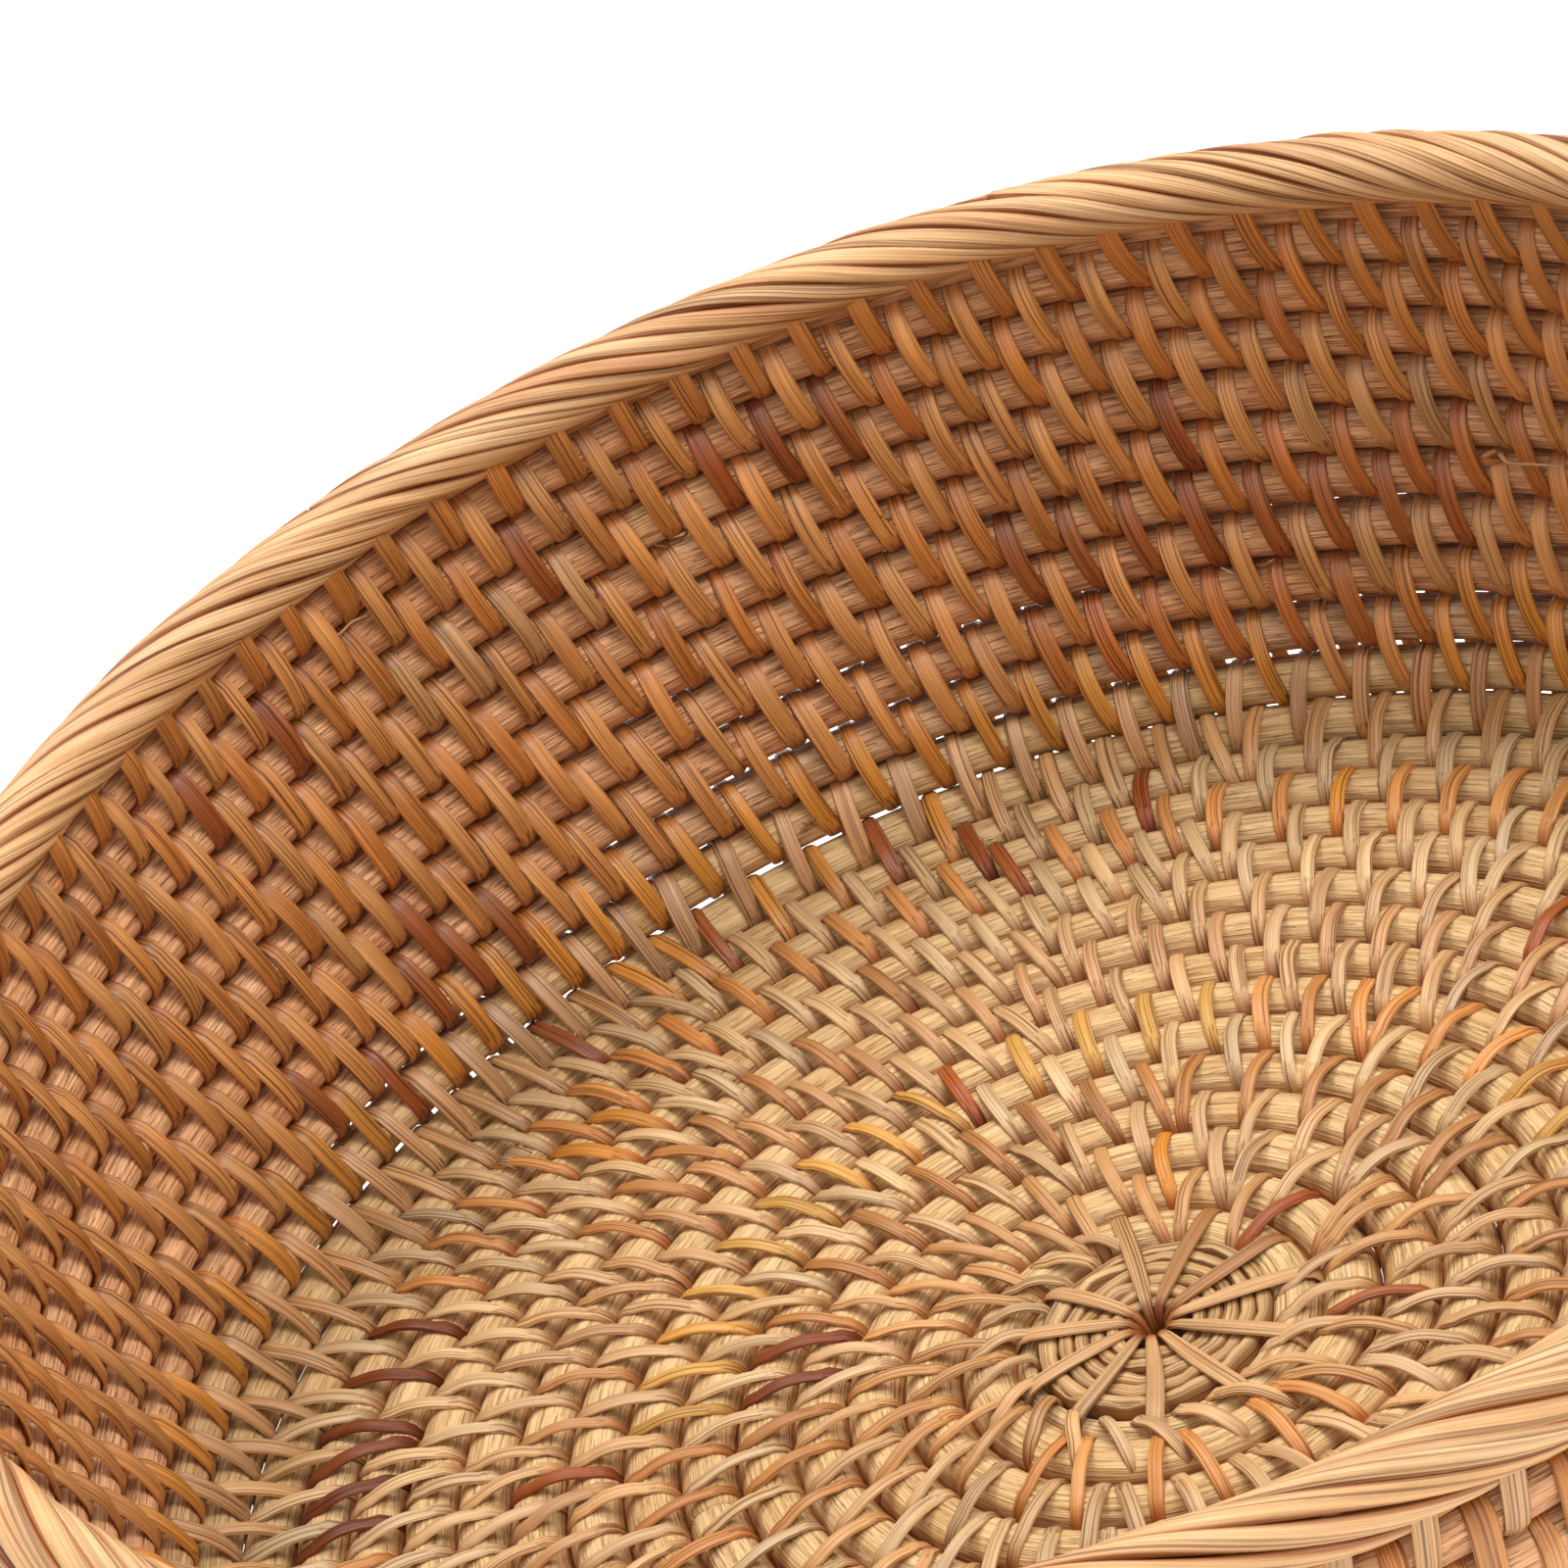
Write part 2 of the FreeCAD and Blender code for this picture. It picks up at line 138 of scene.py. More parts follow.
def coil(ang):
    """the coil as worked by hand: it wanders a little from the even spiral"""
    ang = np.atleast_1d(np.asarray(ang, float))
    pos, tan, r = coil_plain(ang)
    y, z = cross_dir(pos, tan, ang)
    L = length_at(ang)
    turn = ang / TWO
    top = ang > (NH + 1) * PI
    pos = pos + y * (0.28 * wander(L, 11, 260.0))[:, None]
    out = 0.20 * wander(L, 12, 210.0) * np.clip((turn - 13.5) / 2.0, 0, 1)
    pos = pos + z * out[:, None]
    # past the tail, the border's own centre line takes the place of the next turn
    ring = np.stack([RIM_R * np.cos(ang), RIM_R * np.sin(ang), np.full_like(ang, RIM_Z)], -1)
    rtan = np.stack([-np.sin(ang), np.cos(ang), np.zeros_like(ang)], -1)
    pos = np.where(top[:, None], ring, pos)
    tan = np.where(top[:, None], rtan, tan)
    r = np.where(top, RIM_R, r)
    # before its first full turn the rod is cut thin, and fills the wedge round
    # the starter coil
    low = ang < 0
    if low.any():
        rw, _w = wedge(ang)
        rw = np.where(low, rw, 1.0)
        pos = np.where(low[:, None], np.stack([rw * np.cos(ang), rw * np.sin(ang), np.full_like(ang, Z0)], -1), pos)
        tan = np.where(low[:, None], rtan, tan)
        r = np.where(low, rw, r)
    return pos, tan, r


HUB_R = 16.1


def wedge(ang):
    """centre radius and half width of the thin beginning, at angles below zero"""
    nxt = coil_plain(np.maximum(np.asarray(ang) + TWO, 0.0))[0]
    edge = np.hypot(nxt[:, 0], nxt[:, 1]) - 3.7
    w = np.maximum(edge - HUB_R, 0.5)
    return HUB_R + w / 2, w / 2


def rod_radius(turn):
    """rods nearly touch, and stand a little apart at the bend of the wall"""
    return np.interp(turn, [0, 0.5, 10, 12.5, 14.2, 15.2, 16.0, 17.0, 18.0, 20.0, 25.0],
                     [3.75, 3.9, 3.88, 3.84, 3.72, 3.62, 3.57, 3.67, 3.80, 3.85, 3.85])


# ------------------------------------------------------------------ colours
def lin(rgb):
    c = np.asarray(rgb, float) / 255.0
    return np.where(c <= 0.04045, c / 12.92, ((c + 0.055) / 1.055) ** 2.4)


TONE = {
    "straw": lin((206, 176, 133)), "pale": lin((202, 165, 121)), "tan": lin((197, 149, 97)),
    "honeytan": lin((206, 144, 82)), "golden": lin((207, 141, 60)), "gold": lin((203, 155, 80)),
    "honey": lin((194, 126, 62)), "honeyor": lin((186, 112, 54)), "pink": lin((194, 149, 105)),
    "rust": lin((180, 127, 76)), "redbrown": lin((158, 84, 38)), "dkorange": lin((160, 90, 42)),
    "brown": lin((120, 62, 30)),
    "cream": lin((220, 188, 140)), "creamwarm": lin((208, 168, 114)), "grey": lin((190, 166, 136)),
    "wallrod": lin((222, 174, 132)), "wallrod2": lin((206, 150, 106)),
    "rim": lin((217, 177, 131)), "rim2": lin((208, 160, 108)), "rim3": lin((190, 132, 84)),
    "hub": lin((196, 159, 109)), "splice": lin((255, 211, 157)),
}
ROW_TONE = {0: "pale", 1: "tan", 2: "tan", 3: "pale", 4: "rust", 5: "straw", 6: "gold", 7: "pale",
            8: "pink", 9: "pale", 10: "straw", 11: "straw", 12: "honeytan", 13: "straw",
            14: "tan", 15: "pink", 16: "golden", 17: "honeytan", 18: "honeytan", 19: "honeytan",
            20: "honey", 21: "honeytan", 22: "honeytan", 23: "honey", 24: "honeytan", 25: "honey"}
NEAR = {"straw": ["pale", "straw", "tan", "gold"], "pale": ["straw", "tan", "pink", "pale"],
        "tan": ["pale", "honeytan", "tan", "pink"], "honeytan": ["tan", "honey", "golden"],
        "golden": ["honeytan", "gold", "tan"], "gold": ["golden", "honeytan", "brown"],
        "honey": ["honeytan", "honeyor", "tan"], "honeyor": ["honey", "dkorange", "honeytan"],
        "pink": ["tan", "pale", "rust"], "rust": ["pink", "tan", "pale"]}
# strips whose colour differs from their row: row, from and to azimuth, tone
RUNS = [(23, 88, 95, "redbrown"), (23, 84, 87, "dkorange"), (23, 80, 83, "honeyor"), (23, 105.5, 107, "redbrown"), (23, 115.5, 117, "redbrown"),
        (23, 124.5, 126, "redbrown"), (23, 131, 133, "redbrown"), (22, 100, 117, "tan"),
        (19, 50, 80, "dkorange"), (17, 115, 125, "dkorange"), (17, 55, 80, "honeyor"),
        (16, 77, 112, "golden"), (14, 87, 112, "golden"),
        (14, 85, 87, "rust"), (13, 72.5, 74.5, "redbrown"), (13, 85.5, 87.5, "redbrown"),
        (12, 83, 85, "redbrown"), (12, 145, 170, "brown"), (11, 119, 127, "golden"),
        (10, 95, 100, "rust"), (9, 103, 135, "rust"), (6, 60, 166, "gold"),
        (6, 168, 196, "rust"), (4, 148, 163, "brown"), (2, 60, 76, "golden")]


def row_tone(n, phi, i, seed=3):
    """tone name of the stitch at azimuth phi (degrees) in row n"""
    base = ROW_TONE.get(n, "honeytan")
    for row, a, b, tone in RUNS:
        if row == n and a <= phi <= b:
            return tone
    if 62 <= phi <= 196:
        return base
    # beyond the part that the photograph shows, the same mix goes on in runs
    rr = np.random.default_rng(1000 + 17 * n)
    cuts = np.sort(rr.uniform(0, 360, 5))
    k = int(np.searchsorted(cuts, phi)) % 5
    names = [base] + [NEAR[base][int(j)] for j in rr.integers(0, len(NEAR[base]), 5)]
    return names[k]


# ------------------------------------------------------------------ meshes
SC = 0.001


def make_object(name, verts, quads, caps, strand, tint, grime_and_shade, material, sharp=None):
    me = bpy.data.meshes.new(name)
    verts = np.ascontiguousarray(verts.reshape(-1, 3) * SC, dtype=np.float32)
    quads = quads.reshape(-1, 4)
    cap_n = [len(c) for c in caps]
    loops = np.concatenate([quads.ravel()] + [np.asarray(c) for c in caps]).astype(np.int32)
    totals = np.concatenate([np.full(len(quads), 4), np.asarray(cap_n, int)]).astype(np.int32)
    starts = np.concatenate([[0], np.cumsum(totals)[:-1]]).astype(np.int32)
    me.vertices.add(len(verts))
    me.vertices.foreach_set("co", verts.ravel())
    me.loops.add(len(loops))
    me.loops.foreach_set("vertex_index", loops)
    me.polygons.add(len(totals))
    me.polygons.foreach_set("loop_start", starts)
    me.polygons.foreach_set("loop_total", totals)
    me.polygons.foreach_set("use_smooth", np.ones(len(totals), bool))
    me.update(calc_edges=True)
    a = me.attributes.new("strand", "FLOAT_VECTOR", "POINT")
    a.data.foreach_set("vector", np.ascontiguousarray(strand.reshape(-1, 3), np.float32).ravel())
    a = me.attributes.new("tint", "FLOAT_COLOR", "POINT")
    t4 = np.ones((len(verts), 4), np.float32)
    t4[:, :3] = tint.reshape(-1, 3)
    a.data.foreach_set("color", t4.ravel())
    a = me.attributes.new("grime_and_shade", "FLOAT", "POINT")
    a.data.foreach_set("value", np.ascontiguousarray(grime_and_shade.ravel(), np.float32))
    if sharp:
        me.set_sharp_from_angle(angle=math.radians(sharp))
    me.validate()
    ob = bpy.data.objects.new(name, me)
    bpy.context.scene.collection.objects.link(ob)
    me.materials.append(material)
    return ob


class Bag:
    """gathers strands of one piece"""

    def __init__(self):
        self.v, self.q, self.c, self.s, self.t, self.g, self.n = [], [], [], [], [], [], 0

    def grid(self, verts, strand, tint, grime_and_shade, closed_path, flip=False):
        """verts (M, K, 3): M steps along, K points round a closed section"""
        M, K = verts.shape[:2]
        a = np.arange(M * K).reshape(M, K)
        b = np.roll(a, -1, axis=1)
        if closed_path:
            c, d = np.roll(a, -1, axis=0), np.roll(b, -1, axis=0)
            q = np.stack([a, b, d, c], -1)
        else:
            q = np.stack([a[:-1], b[:-1], b[1:], a[1:]], -1)
        q = q.reshape(-1, 4) + self.n
        if flip:
            q = q[:, ::-1]
        self.q.append(q)
        if not closed_path:
            first = list(range(self.n, self.n + K))
            last = list(range(self.n + (M - 1) * K, self.n + M * K))
            self.c += [first, last[::-1]] if flip else [first[::-1], last]
        self.v.append(verts.reshape(-1, 3))
        self.s.append(np.broadcast_to(strand, (M, K, 3)).reshape(-1, 3))
        self.t.append(np.broadcast_to(tint, (M, K, 3)).reshape(-1, 3))
        self.g.append(np.broadcast_to(grime_and_shade, (M, K)).reshape(-1))
        self.n += M * K

    def bands(self, verts, strand, tint, grime_and_shade):
        """verts (N, M, K, 3): N closed bands"""
        N, M, K = verts.shape[:3]
        a = np.arange(N * M * K).reshape(N, M, K)
        b = np.roll(a, -1, axis=2)
        c, d = np.roll(a, -1, axis=1), np.roll(b, -1, axis=1)
        self.q.append(np.stack([a, b, d, c], -1).reshape(-1, 4) + self.n)
        self.v.append(verts.reshape(-1, 3))
        self.s.append(np.broadcast_to(strand, (N, M, K, 3)).reshape(-1, 3))
        self.t.append(np.broadcast_to(tint, (N, M, K, 3)).reshape(-1, 3))
        self.g.append(np.broadcast_to(grime_and_shade, (N, M, K)).reshape(-1))
        self.n += N * M * K

    def build(self, name, node, material, sharp=None):
        ob = make_object(name, np.concatenate(self.v), np.concatenate(self.q), self.c,
                         np.concatenate(self.s), np.concatenate(self.t),
                         np.concatenate(self.g), material, sharp)
        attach(ob, "root")
        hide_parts(node)
        return ob


def frames_along(path, hint):
    """tangent, outward normal (from hint) and width direction along a path"""
    t = unit(np.gradient(path, axis=0))
    n = unit(hint - t * np.sum(hint * t, -1, keepdims=True))
    return t, n, np.cross(n, t)


# ------------------------------------------------------------------ materials
def node(nt, kind, x, y, **kw):
    nd = nt.nodes.new(kind)
    nd.location = (x, y)
    for k, v in kw.items():
        setattr(nd, k, v)
    return nd


def link(nt, a, b):
    nt.links.new(a, b)


def ramp(nt, x, y, stops):
    nd = node(nt, "ShaderNodeValToRGB", x, y)
    el = nd.color_ramp.elements
    while len(el) > 1:
        el.remove(el[-1])
    el[0].position = stops[0][0]
    el[0].color = (*([stops[0][1]] * 3), 1) if not hasattr(stops[0][1], "__len__") else (*stops[0][1], 1)
    for p, c in stops[1:]:
        e = el.new(p)
        e.color = (*([c] * 3), 1) if not hasattr(c, "__len__") else (*c, 1)
    return nd


def mix(nt, x, y, blend, fac, a, b):
    nd = node(nt, "ShaderNodeMix", x, y, data_type="RGBA", blend_type=blend)
    for sock, v in ((nd.inputs[0], fac), (nd.inputs[6], a), (nd.inputs[7], b)):
        if isinstance(v, (int, float)):
            sock.default_value = v
        elif isinstance(v, (tuple, list)):
            sock.default_value = (*v, 1)
        else:
            link(nt, v, sock)
    return nd.outputs[2]


def math_node(nt, x, y, op, a, b=None, c=None, clamp=False):
    nd = node(nt, "ShaderNodeMath", x, y, operation=op, use_clamp=clamp)
    for k, v in enumerate((a, b, c)):
        if v is None:
            continue
        if isinstance(v, (int, float)):
            nd.inputs[k].default_value = v
        else:
            link(nt, v, nd.inputs[k])
    return nd.outputs[0]


def scaled(nt, x, y, vec, scale):
    nd = node(nt, "ShaderNodeVectorMath", x, y, operation="MULTIPLY")
    link(nt, vec, nd.inputs[0])
    nd.inputs[1].default_value = scale
    return nd.outputs[0]


def noise(nt, x, y, vec, scale=1.0, detail=2.0, rough=0.5, dist=0.0):
    nd = node(nt, "ShaderNodeTexNoise", x, y)
    nd.inputs["Scale"].default_value = scale
    nd.inputs["Detail"].default_value = detail
    nd.inputs["Roughness"].default_value = rough
    nd.inputs["Distortion"].default_value = dist
    link(nt, vec, nd.inputs["Vector"])
    return nd.outputs[0]


def fibre_material(name, line=(2.0, 0.03), fine=(4.6, 0.05), dark=0.5, light=1.15, mottle=1.0, fleck=0.4,
                   grime_and_shade=0.6, rough=0.45, rough_var=0.2, bump=0.00012, spec=0.45, crack=0.0,
                   crack_line=(1.1, 0.05), pale_patch=0.0):
    """rattan: fine long fibres, mottled tone, darker in the crevices, partly dirt and partly painted shade"""
    m = bpy.data.materials.new(name)
    m.use_nodes = True
    nt = m.node_tree
    nt.nodes.clear()
    out = node(nt, "ShaderNodeOutputMaterial", 900, 0)
    bs = node(nt, "ShaderNodeBsdfPrincipled", 620, 0)
    link(nt, bs.outputs[0], out.inputs[0])
    st = node(nt, "ShaderNodeAttribute", -1500, 0, attribute_name="strand")
    ti = node(nt, "ShaderNodeAttribute", -1500, 300, attribute_name="tint")
    gr = node(nt, "ShaderNodeAttribute", -1500, -300, attribute_name="grime_and_shade")
    vec = st.outputs["Vector"]
    k, a = line
    n1 = noise(nt, -1000, 200, scaled(nt, -1250, 200, vec, (k, k, a)), 1.0, 1.5, 0.5)
    k, a = fine
    n1b = noise(nt, -1000, 420, scaled(nt, -1250, 420, vec, (k, k, a)), 1.0, 2.0, 0.5)
    n2 = noise(nt, -1000, -20, scaled(nt, -1250, -20, vec, (0.42, 0.42, 0.055)), 1.0, 3.0, 0.6)
    n3 = noise(nt, -1000, -240, scaled(nt, -1250, -240, vec, (k * 0.8, k * 0.8, 0.30)), 1.0, 2.0, 0.5)
    fib = math_node(nt, -860, 320, "MULTIPLY_ADD", n1b, 0.45, math_node(nt, -900, 260, "MULTIPLY", n1, 0.55))
    lines = ramp(nt, -700, 300, [(0.39, (dark, dark * 0.86, dark * 0.72)), (0.46, (0.92, 0.89, 0.84)),
                                 (0.52, (1.0, 1.0, 1.0)), (0.60, (light, light, light * 0.98))])
    link(nt, fib, lines.inputs[0])
    base = mix(nt, -420, 250, "MULTIPLY", 1.0, ti.outputs["Color"], lines.outputs[0])
    mott = ramp(nt, -760, -20, [(0.28, (0.78, 0.66, 0.52)), (0.50, (1.0, 1.0, 1.0)), (0.72, (1.12, 1.11, 1.08))])
    link(nt, n2, mott.inputs[0])
    base = mix(nt, -240, 200, "MULTIPLY", mottle, base, mott.outputs[0])
    fl = ramp(nt, -760, -240, [(0.27, fleck), (0.36, 0.0)])
    link(nt, n3, fl.inputs[0])
    base = mix(nt, -60, 180, "MULTIPLY", fl.outputs[0], base, (0.42, 0.26, 0.16))
    height = fib
    if pale_patch > 0:
        pp = ramp(nt, -760, -480, [(0.62, 0.0), (0.74, pale_patch)])
        link(nt, n3, pp.inputs[0])
        base = mix(nt, -20, 280, "MIX", pp.outputs[0], base, (0.86, 0.62, 0.36))
    if crack > 0:
        ck, ca = crack_line
        n4 = noise(nt, -1000, -700, scaled(nt, -1250, -700, vec, (ck, ck, ca)), 1.0, 3.0, 0.65, 0.15)
        cr = ramp(nt, -760, -700, [(0.36, 1.0), (0.43, 0.0)])
        link(nt, n4, cr.inputs[0])
        amt = math_node(nt, -500, -700, "MULTIPLY", cr.outputs[0], crack)
        base = mix(nt, 40, 60, "MULTIPLY", amt, base, (0.42, 0.24, 0.12))
        height = math_node(nt, -300, -600, "SUBTRACT", fib, math_node(nt, -400, -640, "MULTIPLY", cr.outputs[0], 0.35))
    # crevices are darkened brown, following the grain a little: partly a dirt stain, partly painted shade
    gz = math_node(nt, -420, -300, "ADD", gr.outputs["Fac"], math_node(nt, -560, -360, "MULTIPLY_ADD", n2, 0.8, -0.4))
    gz = math_node(nt, -260, -300, "MULTIPLY", gz, grime_and_shade, clamp=True)
    base = mix(nt, 200, 160, "MIX", gz, base, mix(nt, 40, -120, "MULTIPLY", 0.9, base, (0.46, 0.22, 0.08)))
    link(nt, base, bs.inputs["Base Color"])
    ro = math_node(nt, 200, -120, "MULTIPLY_ADD", fib, -rough_var, rough + rough_var * 0.5)
    link(nt, ro, bs.inputs["Roughness"])
    bs.inputs["Specular IOR Level"].default_value = spec
    bp = node(nt, "ShaderNodeBump", 380, -300)
    bp.inputs["Strength"].default_value = 1.0
    bp.inputs["Distance"].default_value = bump
    link(nt, height, bp.inputs["Height"])
    link(nt, bp.outputs[0], bs.inputs["Normal"])
    return m


M_BASE = fibre_material("rod_base_core", line=(2.3, 0.05), fine=(4.6, 0.12), dark=0.76, light=1.12, fleck=0.35,
                        grime_and_shade=1.3, rough=0.66, bump=0.00050, spec=0.25, crack=0.20, crack_line=(2.2, 0.12))
M_WALL = fibre_material("rod_wall_core", line=(2.4, 0.06), fine=(5.0, 0.14), dark=0.60, light=1.20, fleck=0.45,
                        grime_and_shade=0.90, rough=0.60, bump=0.00060, spec=0.3, crack=0.38, crack_line=(2.3, 0.15),
                        pale_patch=0.4)
M_LIGHT = fibre_material("peel_light_strip", line=(2.9, 0.015), fine=(6.0, 0.025), dark=0.42, light=1.16, fleck=0.2,
                         grime_and_shade=1.05, rough=0.40, bump=0.00040, spec=0.40)
M_HONEY = fibre_material("peel_honey_strip", line=(2.8, 0.015), fine=(6.0, 0.025), dark=0.34, light=1.24, fleck=0.25,
                         grime_and_shade=0.85, rough=0.34, bump=0.00045, spec=0.6)
M_REED = fibre_material("rim_reed_skin", line=(2.0, 0.010), fine=(4.6, 0.018), dark=0.46, light=1.14, fleck=0.25,
                        grime_and_shade=1.25, rough=0.46, bump=0.00040, spec=0.45)

# ------------------------------------------------------------------ rods
K_ROD = 32
LENGTHS = [(0, 11), (11, 20), (20, 27), (27, 32), (32, 37), (37, 43), (43, 49)]


def rod_tones(ang, L, k):
    turn = ang / TWO
    w = np.clip((turn - 15.2) / 1.0, 0, 1)[:, None]
    v1 = (0.5 + 0.5 * wander(L, 40 + k, 120.0))[:, None]
    v2 = (0.5 + 0.5 * wander(L, 60 + k, 340.0))[:, None]
    v1, v2 = np.clip(v1, 0, 1), np.clip(v2, 0, 1)
    base = TONE["cream"] * (1 - 0.55 * v1) + TONE["creamwarm"] * 0.55 * v1
    wall = TONE["wallrod"] * (1 - v2) + TONE["wallrod2"] * v2
    # the left of the wall is paler, as if it had stood nearer the light
    left = np.exp(-((np.degrees(ang) % 360 - 158.0) / 48.0) ** 2)[:, None]
    wall = wall * (1 + 0.26 * left)
    t = base * (1 - w) + wall * w
    g = np.clip(1 - np.abs(turn - 15.95) / 0.62, 0, 1)[:, None]
    return t * (1 - g * 0.8) + TONE["grey"] * g * 0.8


def tube(bag, ang, rad, k, tint=None, pos=None, tan=None, splice=None):
    if pos is None:
        pos, tan, _ = coil(ang)
    y, z = cross_dir(pos, tan, ang)
    L = length_at(ang)
    th = np.arange(K_ROD) * TWO / K_ROD
    flute = np.zeros((len(ang), K_ROD))
    rr = np.random.default_rng(500 + k)
    for m in (3, 5, 7, 9, 11, 14):
        ph = rr.uniform(0, TWO) + 1.4 * wander(L, 600 + 20 * k + m, 150.0)
        flute += (0.052 if m < 9 else 0.034) * np.sin(m * th[None] + ph[:, None]) * (
            0.6 + 0.4 * wander(L, 700 + 20 * k + m, 60.0))[:, None]
    R = rad[:, None] * (1 + 0.018 * wander(L, 800 + k, 90.0))[:, None] + flute * np.minimum(rad / 3, 1)[:, None]
    tall = 1 + np.clip(3.0 - rad, 0, 3)[:, None] * 0.28  # thin parts stay nearly as high
    # rounded ends
    R[0] *= 0.80
    R[-1] *= 0.80
    cs, sn = np.cos(th), np.sin(th)
    oy, oz = R * cs[None], R * sn[None] * (tall if k == 0 else 1.0)
    # on the base the rods are pressed a little oval and touch; underneath they are worn flat
    flat = np.clip((14.0 - ang / TWO) / 0.9, 0, 1)[:, None] * (k < 9)
    oy = oy * (1 + 0.055 * flat * (rad[:, None] > 3))
    oz = np.minimum(oz, 3.46 * flat + 5.0 * (1 - flat))
    if splice is not None:
        # a scarf splice: the face is pared flat and shows pale fresh wood
        l0, l1, cut = splice
        w = np.clip((L - l0) / 6.0, 0, 1) * np.clip((l1 - L) / 3.0, 0, 1)
        oz = np.maximum(oz, -(rad - cut * w)[:, None])
    v = pos[:, None] + oy[..., None] * y[:, None] + oz[..., None] * z[:, None]
    v[..., 2] = np.maximum(v[..., 2], 0.03)
    strand = np.stack(np.broadcast_arrays(cs[None] * rad[:, None], sn[None] * rad[:, None] + 31.0 * k, L[:, None]), -1)
    # each rod darkens towards its flanks, where it lies against the next turn: partly dirt, partly painted shade
    lo_ = 0.72 - 0.14 * flat
    g = np.clip((np.abs(cs)[None] - lo_) / (1 - lo_), 0, 1) ** 1.5
    if tint is None:
        tint = rod_tones(ang, L, k)
    tint = tint[:, None] * np.ones((1, K_ROD, 1))
    if splice is not None:
        face = w[:, None] * (sn < -0.5)[None]
        tint = tint * (1 - face[..., None]) + TONE["splice"] * face[..., None]
        end = np.exp(-((L - l1 + 1.0) / 1.3) ** 2)[:, None] * (sn < -0.2)[None]
        g = g + 1.3 * end
    bag.grid(v, strand, tint, g, False)


def even_steps(a0, a1, step):
    l0, l1 = length_at(a0), length_at(a1)
    n = max(4, int((l1 - l0) / step))
    return np.interp(np.linspace(l0, l1, n), LEN_L, LEN_U)


for n, (i0, i1) in enumerate(LENGTHS):
    bag = Bag()
    a0 = i0 * PI + (0.0012 if i0 else 0.0)
    a1 = i1 * PI - 0.0012
    ang = even_steps(a0, a1, 3.0)
    ends = np.array([a0, a0 + 0.35 / coil_plain(a0)[2][0]])
    tips = np.array([a1 - 0.35 / coil_plain(a1 - 0.01)[2][0], a1])
    ang = np.concatenate([ends, ang[1:-1], tips])
    rad = rod_radius(ang / TWO)
    if n == 0:
        th = np.linspace(-0.90 * TWO, -0.01, 110)
        _rw, hw = wedge(th)
        hw = np.minimum(hw + 0.12, 3.72)
        pw, tw, _ = coil(th)
        p0, t0, _ = coil(ang)
        # the two runs meet end to end
        k_in = np.clip((th + 0.5) / 0.49, 0, 1)[:, None]
        pw = pw + (p0[0] - pw[-1]) * k_in
        ang = np.concatenate([th, ang[2:]])
        rad = np.concatenate([hw, rad[2:]])
        pos = np.concatenate([pw, p0[2:]])
        tube(bag, ang, rad, n, None, pos, unit(np.gradient(pos, axis=0)))
    elif n in (5, 6):
        # the wall rod is pieced here: two long tapered faces, one above the other
        l_s = float(length_at((21 if n == 5 else 22) * TWO + math.radians(95.5 if n == 5 else 93.0)))
        tube(bag, ang, rad, n, splice=(l_s, l_s + (10.0 if n == 5 else 19.0), 0.9))
    else:
        tube(bag, ang, rad, n)
    bag.build("foundation_%02d_rod" % (n + 1), "foundation_%02d" % (n + 1),
              M_BASE if n < 4 else M_WALL)

# the tail tapers under the rim, and its thin end closes the last of the wedge
bag = Bag()
ang = even_steps(NH * PI + 0.0015, (NH + 1) * PI, 3.0)
f = (ang - NH * PI) / PI
pos_t, tan_t, _ = coil(ang)
rad_t = 3.86 + (TAIL_R + 0.22 - 3.86) * f
ext = np.linspace(0, 1.0, 80)[1:] * (0.62 * PI)
lowp, lowt, _ = coil((NH - 1) * PI + ext)
ph = np.arctan2(lowp[:, 1], lowp[:, 0])
rimp = np.stack([RIM_R * np.cos(ph), RIM_R * np.sin(ph), np.full_like(ph, RIM_Z)], -1)
dist = np.linalg.norm(rimp - lowp, axis=1)
gap = dist - 3.86 - 4.6
mid = lowp + (rimp - lowp) * ((3.86 + gap / 2) / dist)[:, None]
rad_e = np.clip(gap / 2 + 0.25, 0.35, 3)
w_in = np.clip(np.arange(len(ext)) / 6.0, 0, 1)
rad_e = rad_e * w_in + rad_t[-1] * (1 - w_in)
mid = mid * w_in[:, None] + (pos_t[-1] + (mid - mid[0])) * (1 - w_in)[:, None]
pos_all = np.concatenate([pos_t, mid])
ang_all = np.concatenate([ang, (NH + 1) * PI + ext])
tan_all = unit(np.gradient(pos_all, axis=0))
rad_all = np.concatenate([rad_t, rad_e])
tube(bag, ang_all, rad_all, 9, None, pos_all, tan_all)
bag.build("foundation_tail_rod", "foundation_tail", M_WALL)

# ------------------------------------------------------------------ hub
HP, HT, HH, HOLE = 2.2, 1.9, 5.8, 3.3
hub_x = [(HOLE + HT / 2 + HP * i / 2.0) * (1 if i % 2 == 0 else -1) for i in range(11)]


def rounded_box(w, h, corner, per=3):
    """section of a strip on edge: w across, h tall"""
    pts = []
    for sx, sy, a0 in ((1, 1, 0), (-1, 1, 90), (-1, -1, 180), (1, -1, 270)):
        for j in range(per):
            a = math.radians(a0 + 90.0 * j / (per - 1))
            pts.append((sx * (w / 2 - corner) + corner * math.cos(a), sy * (h / 2 - corner) + corner * math.sin(a)))
    return np.array(pts)


bag = Bag()
sec = rounded_box(HT + 0.12, HH + 1.0, 0.55)


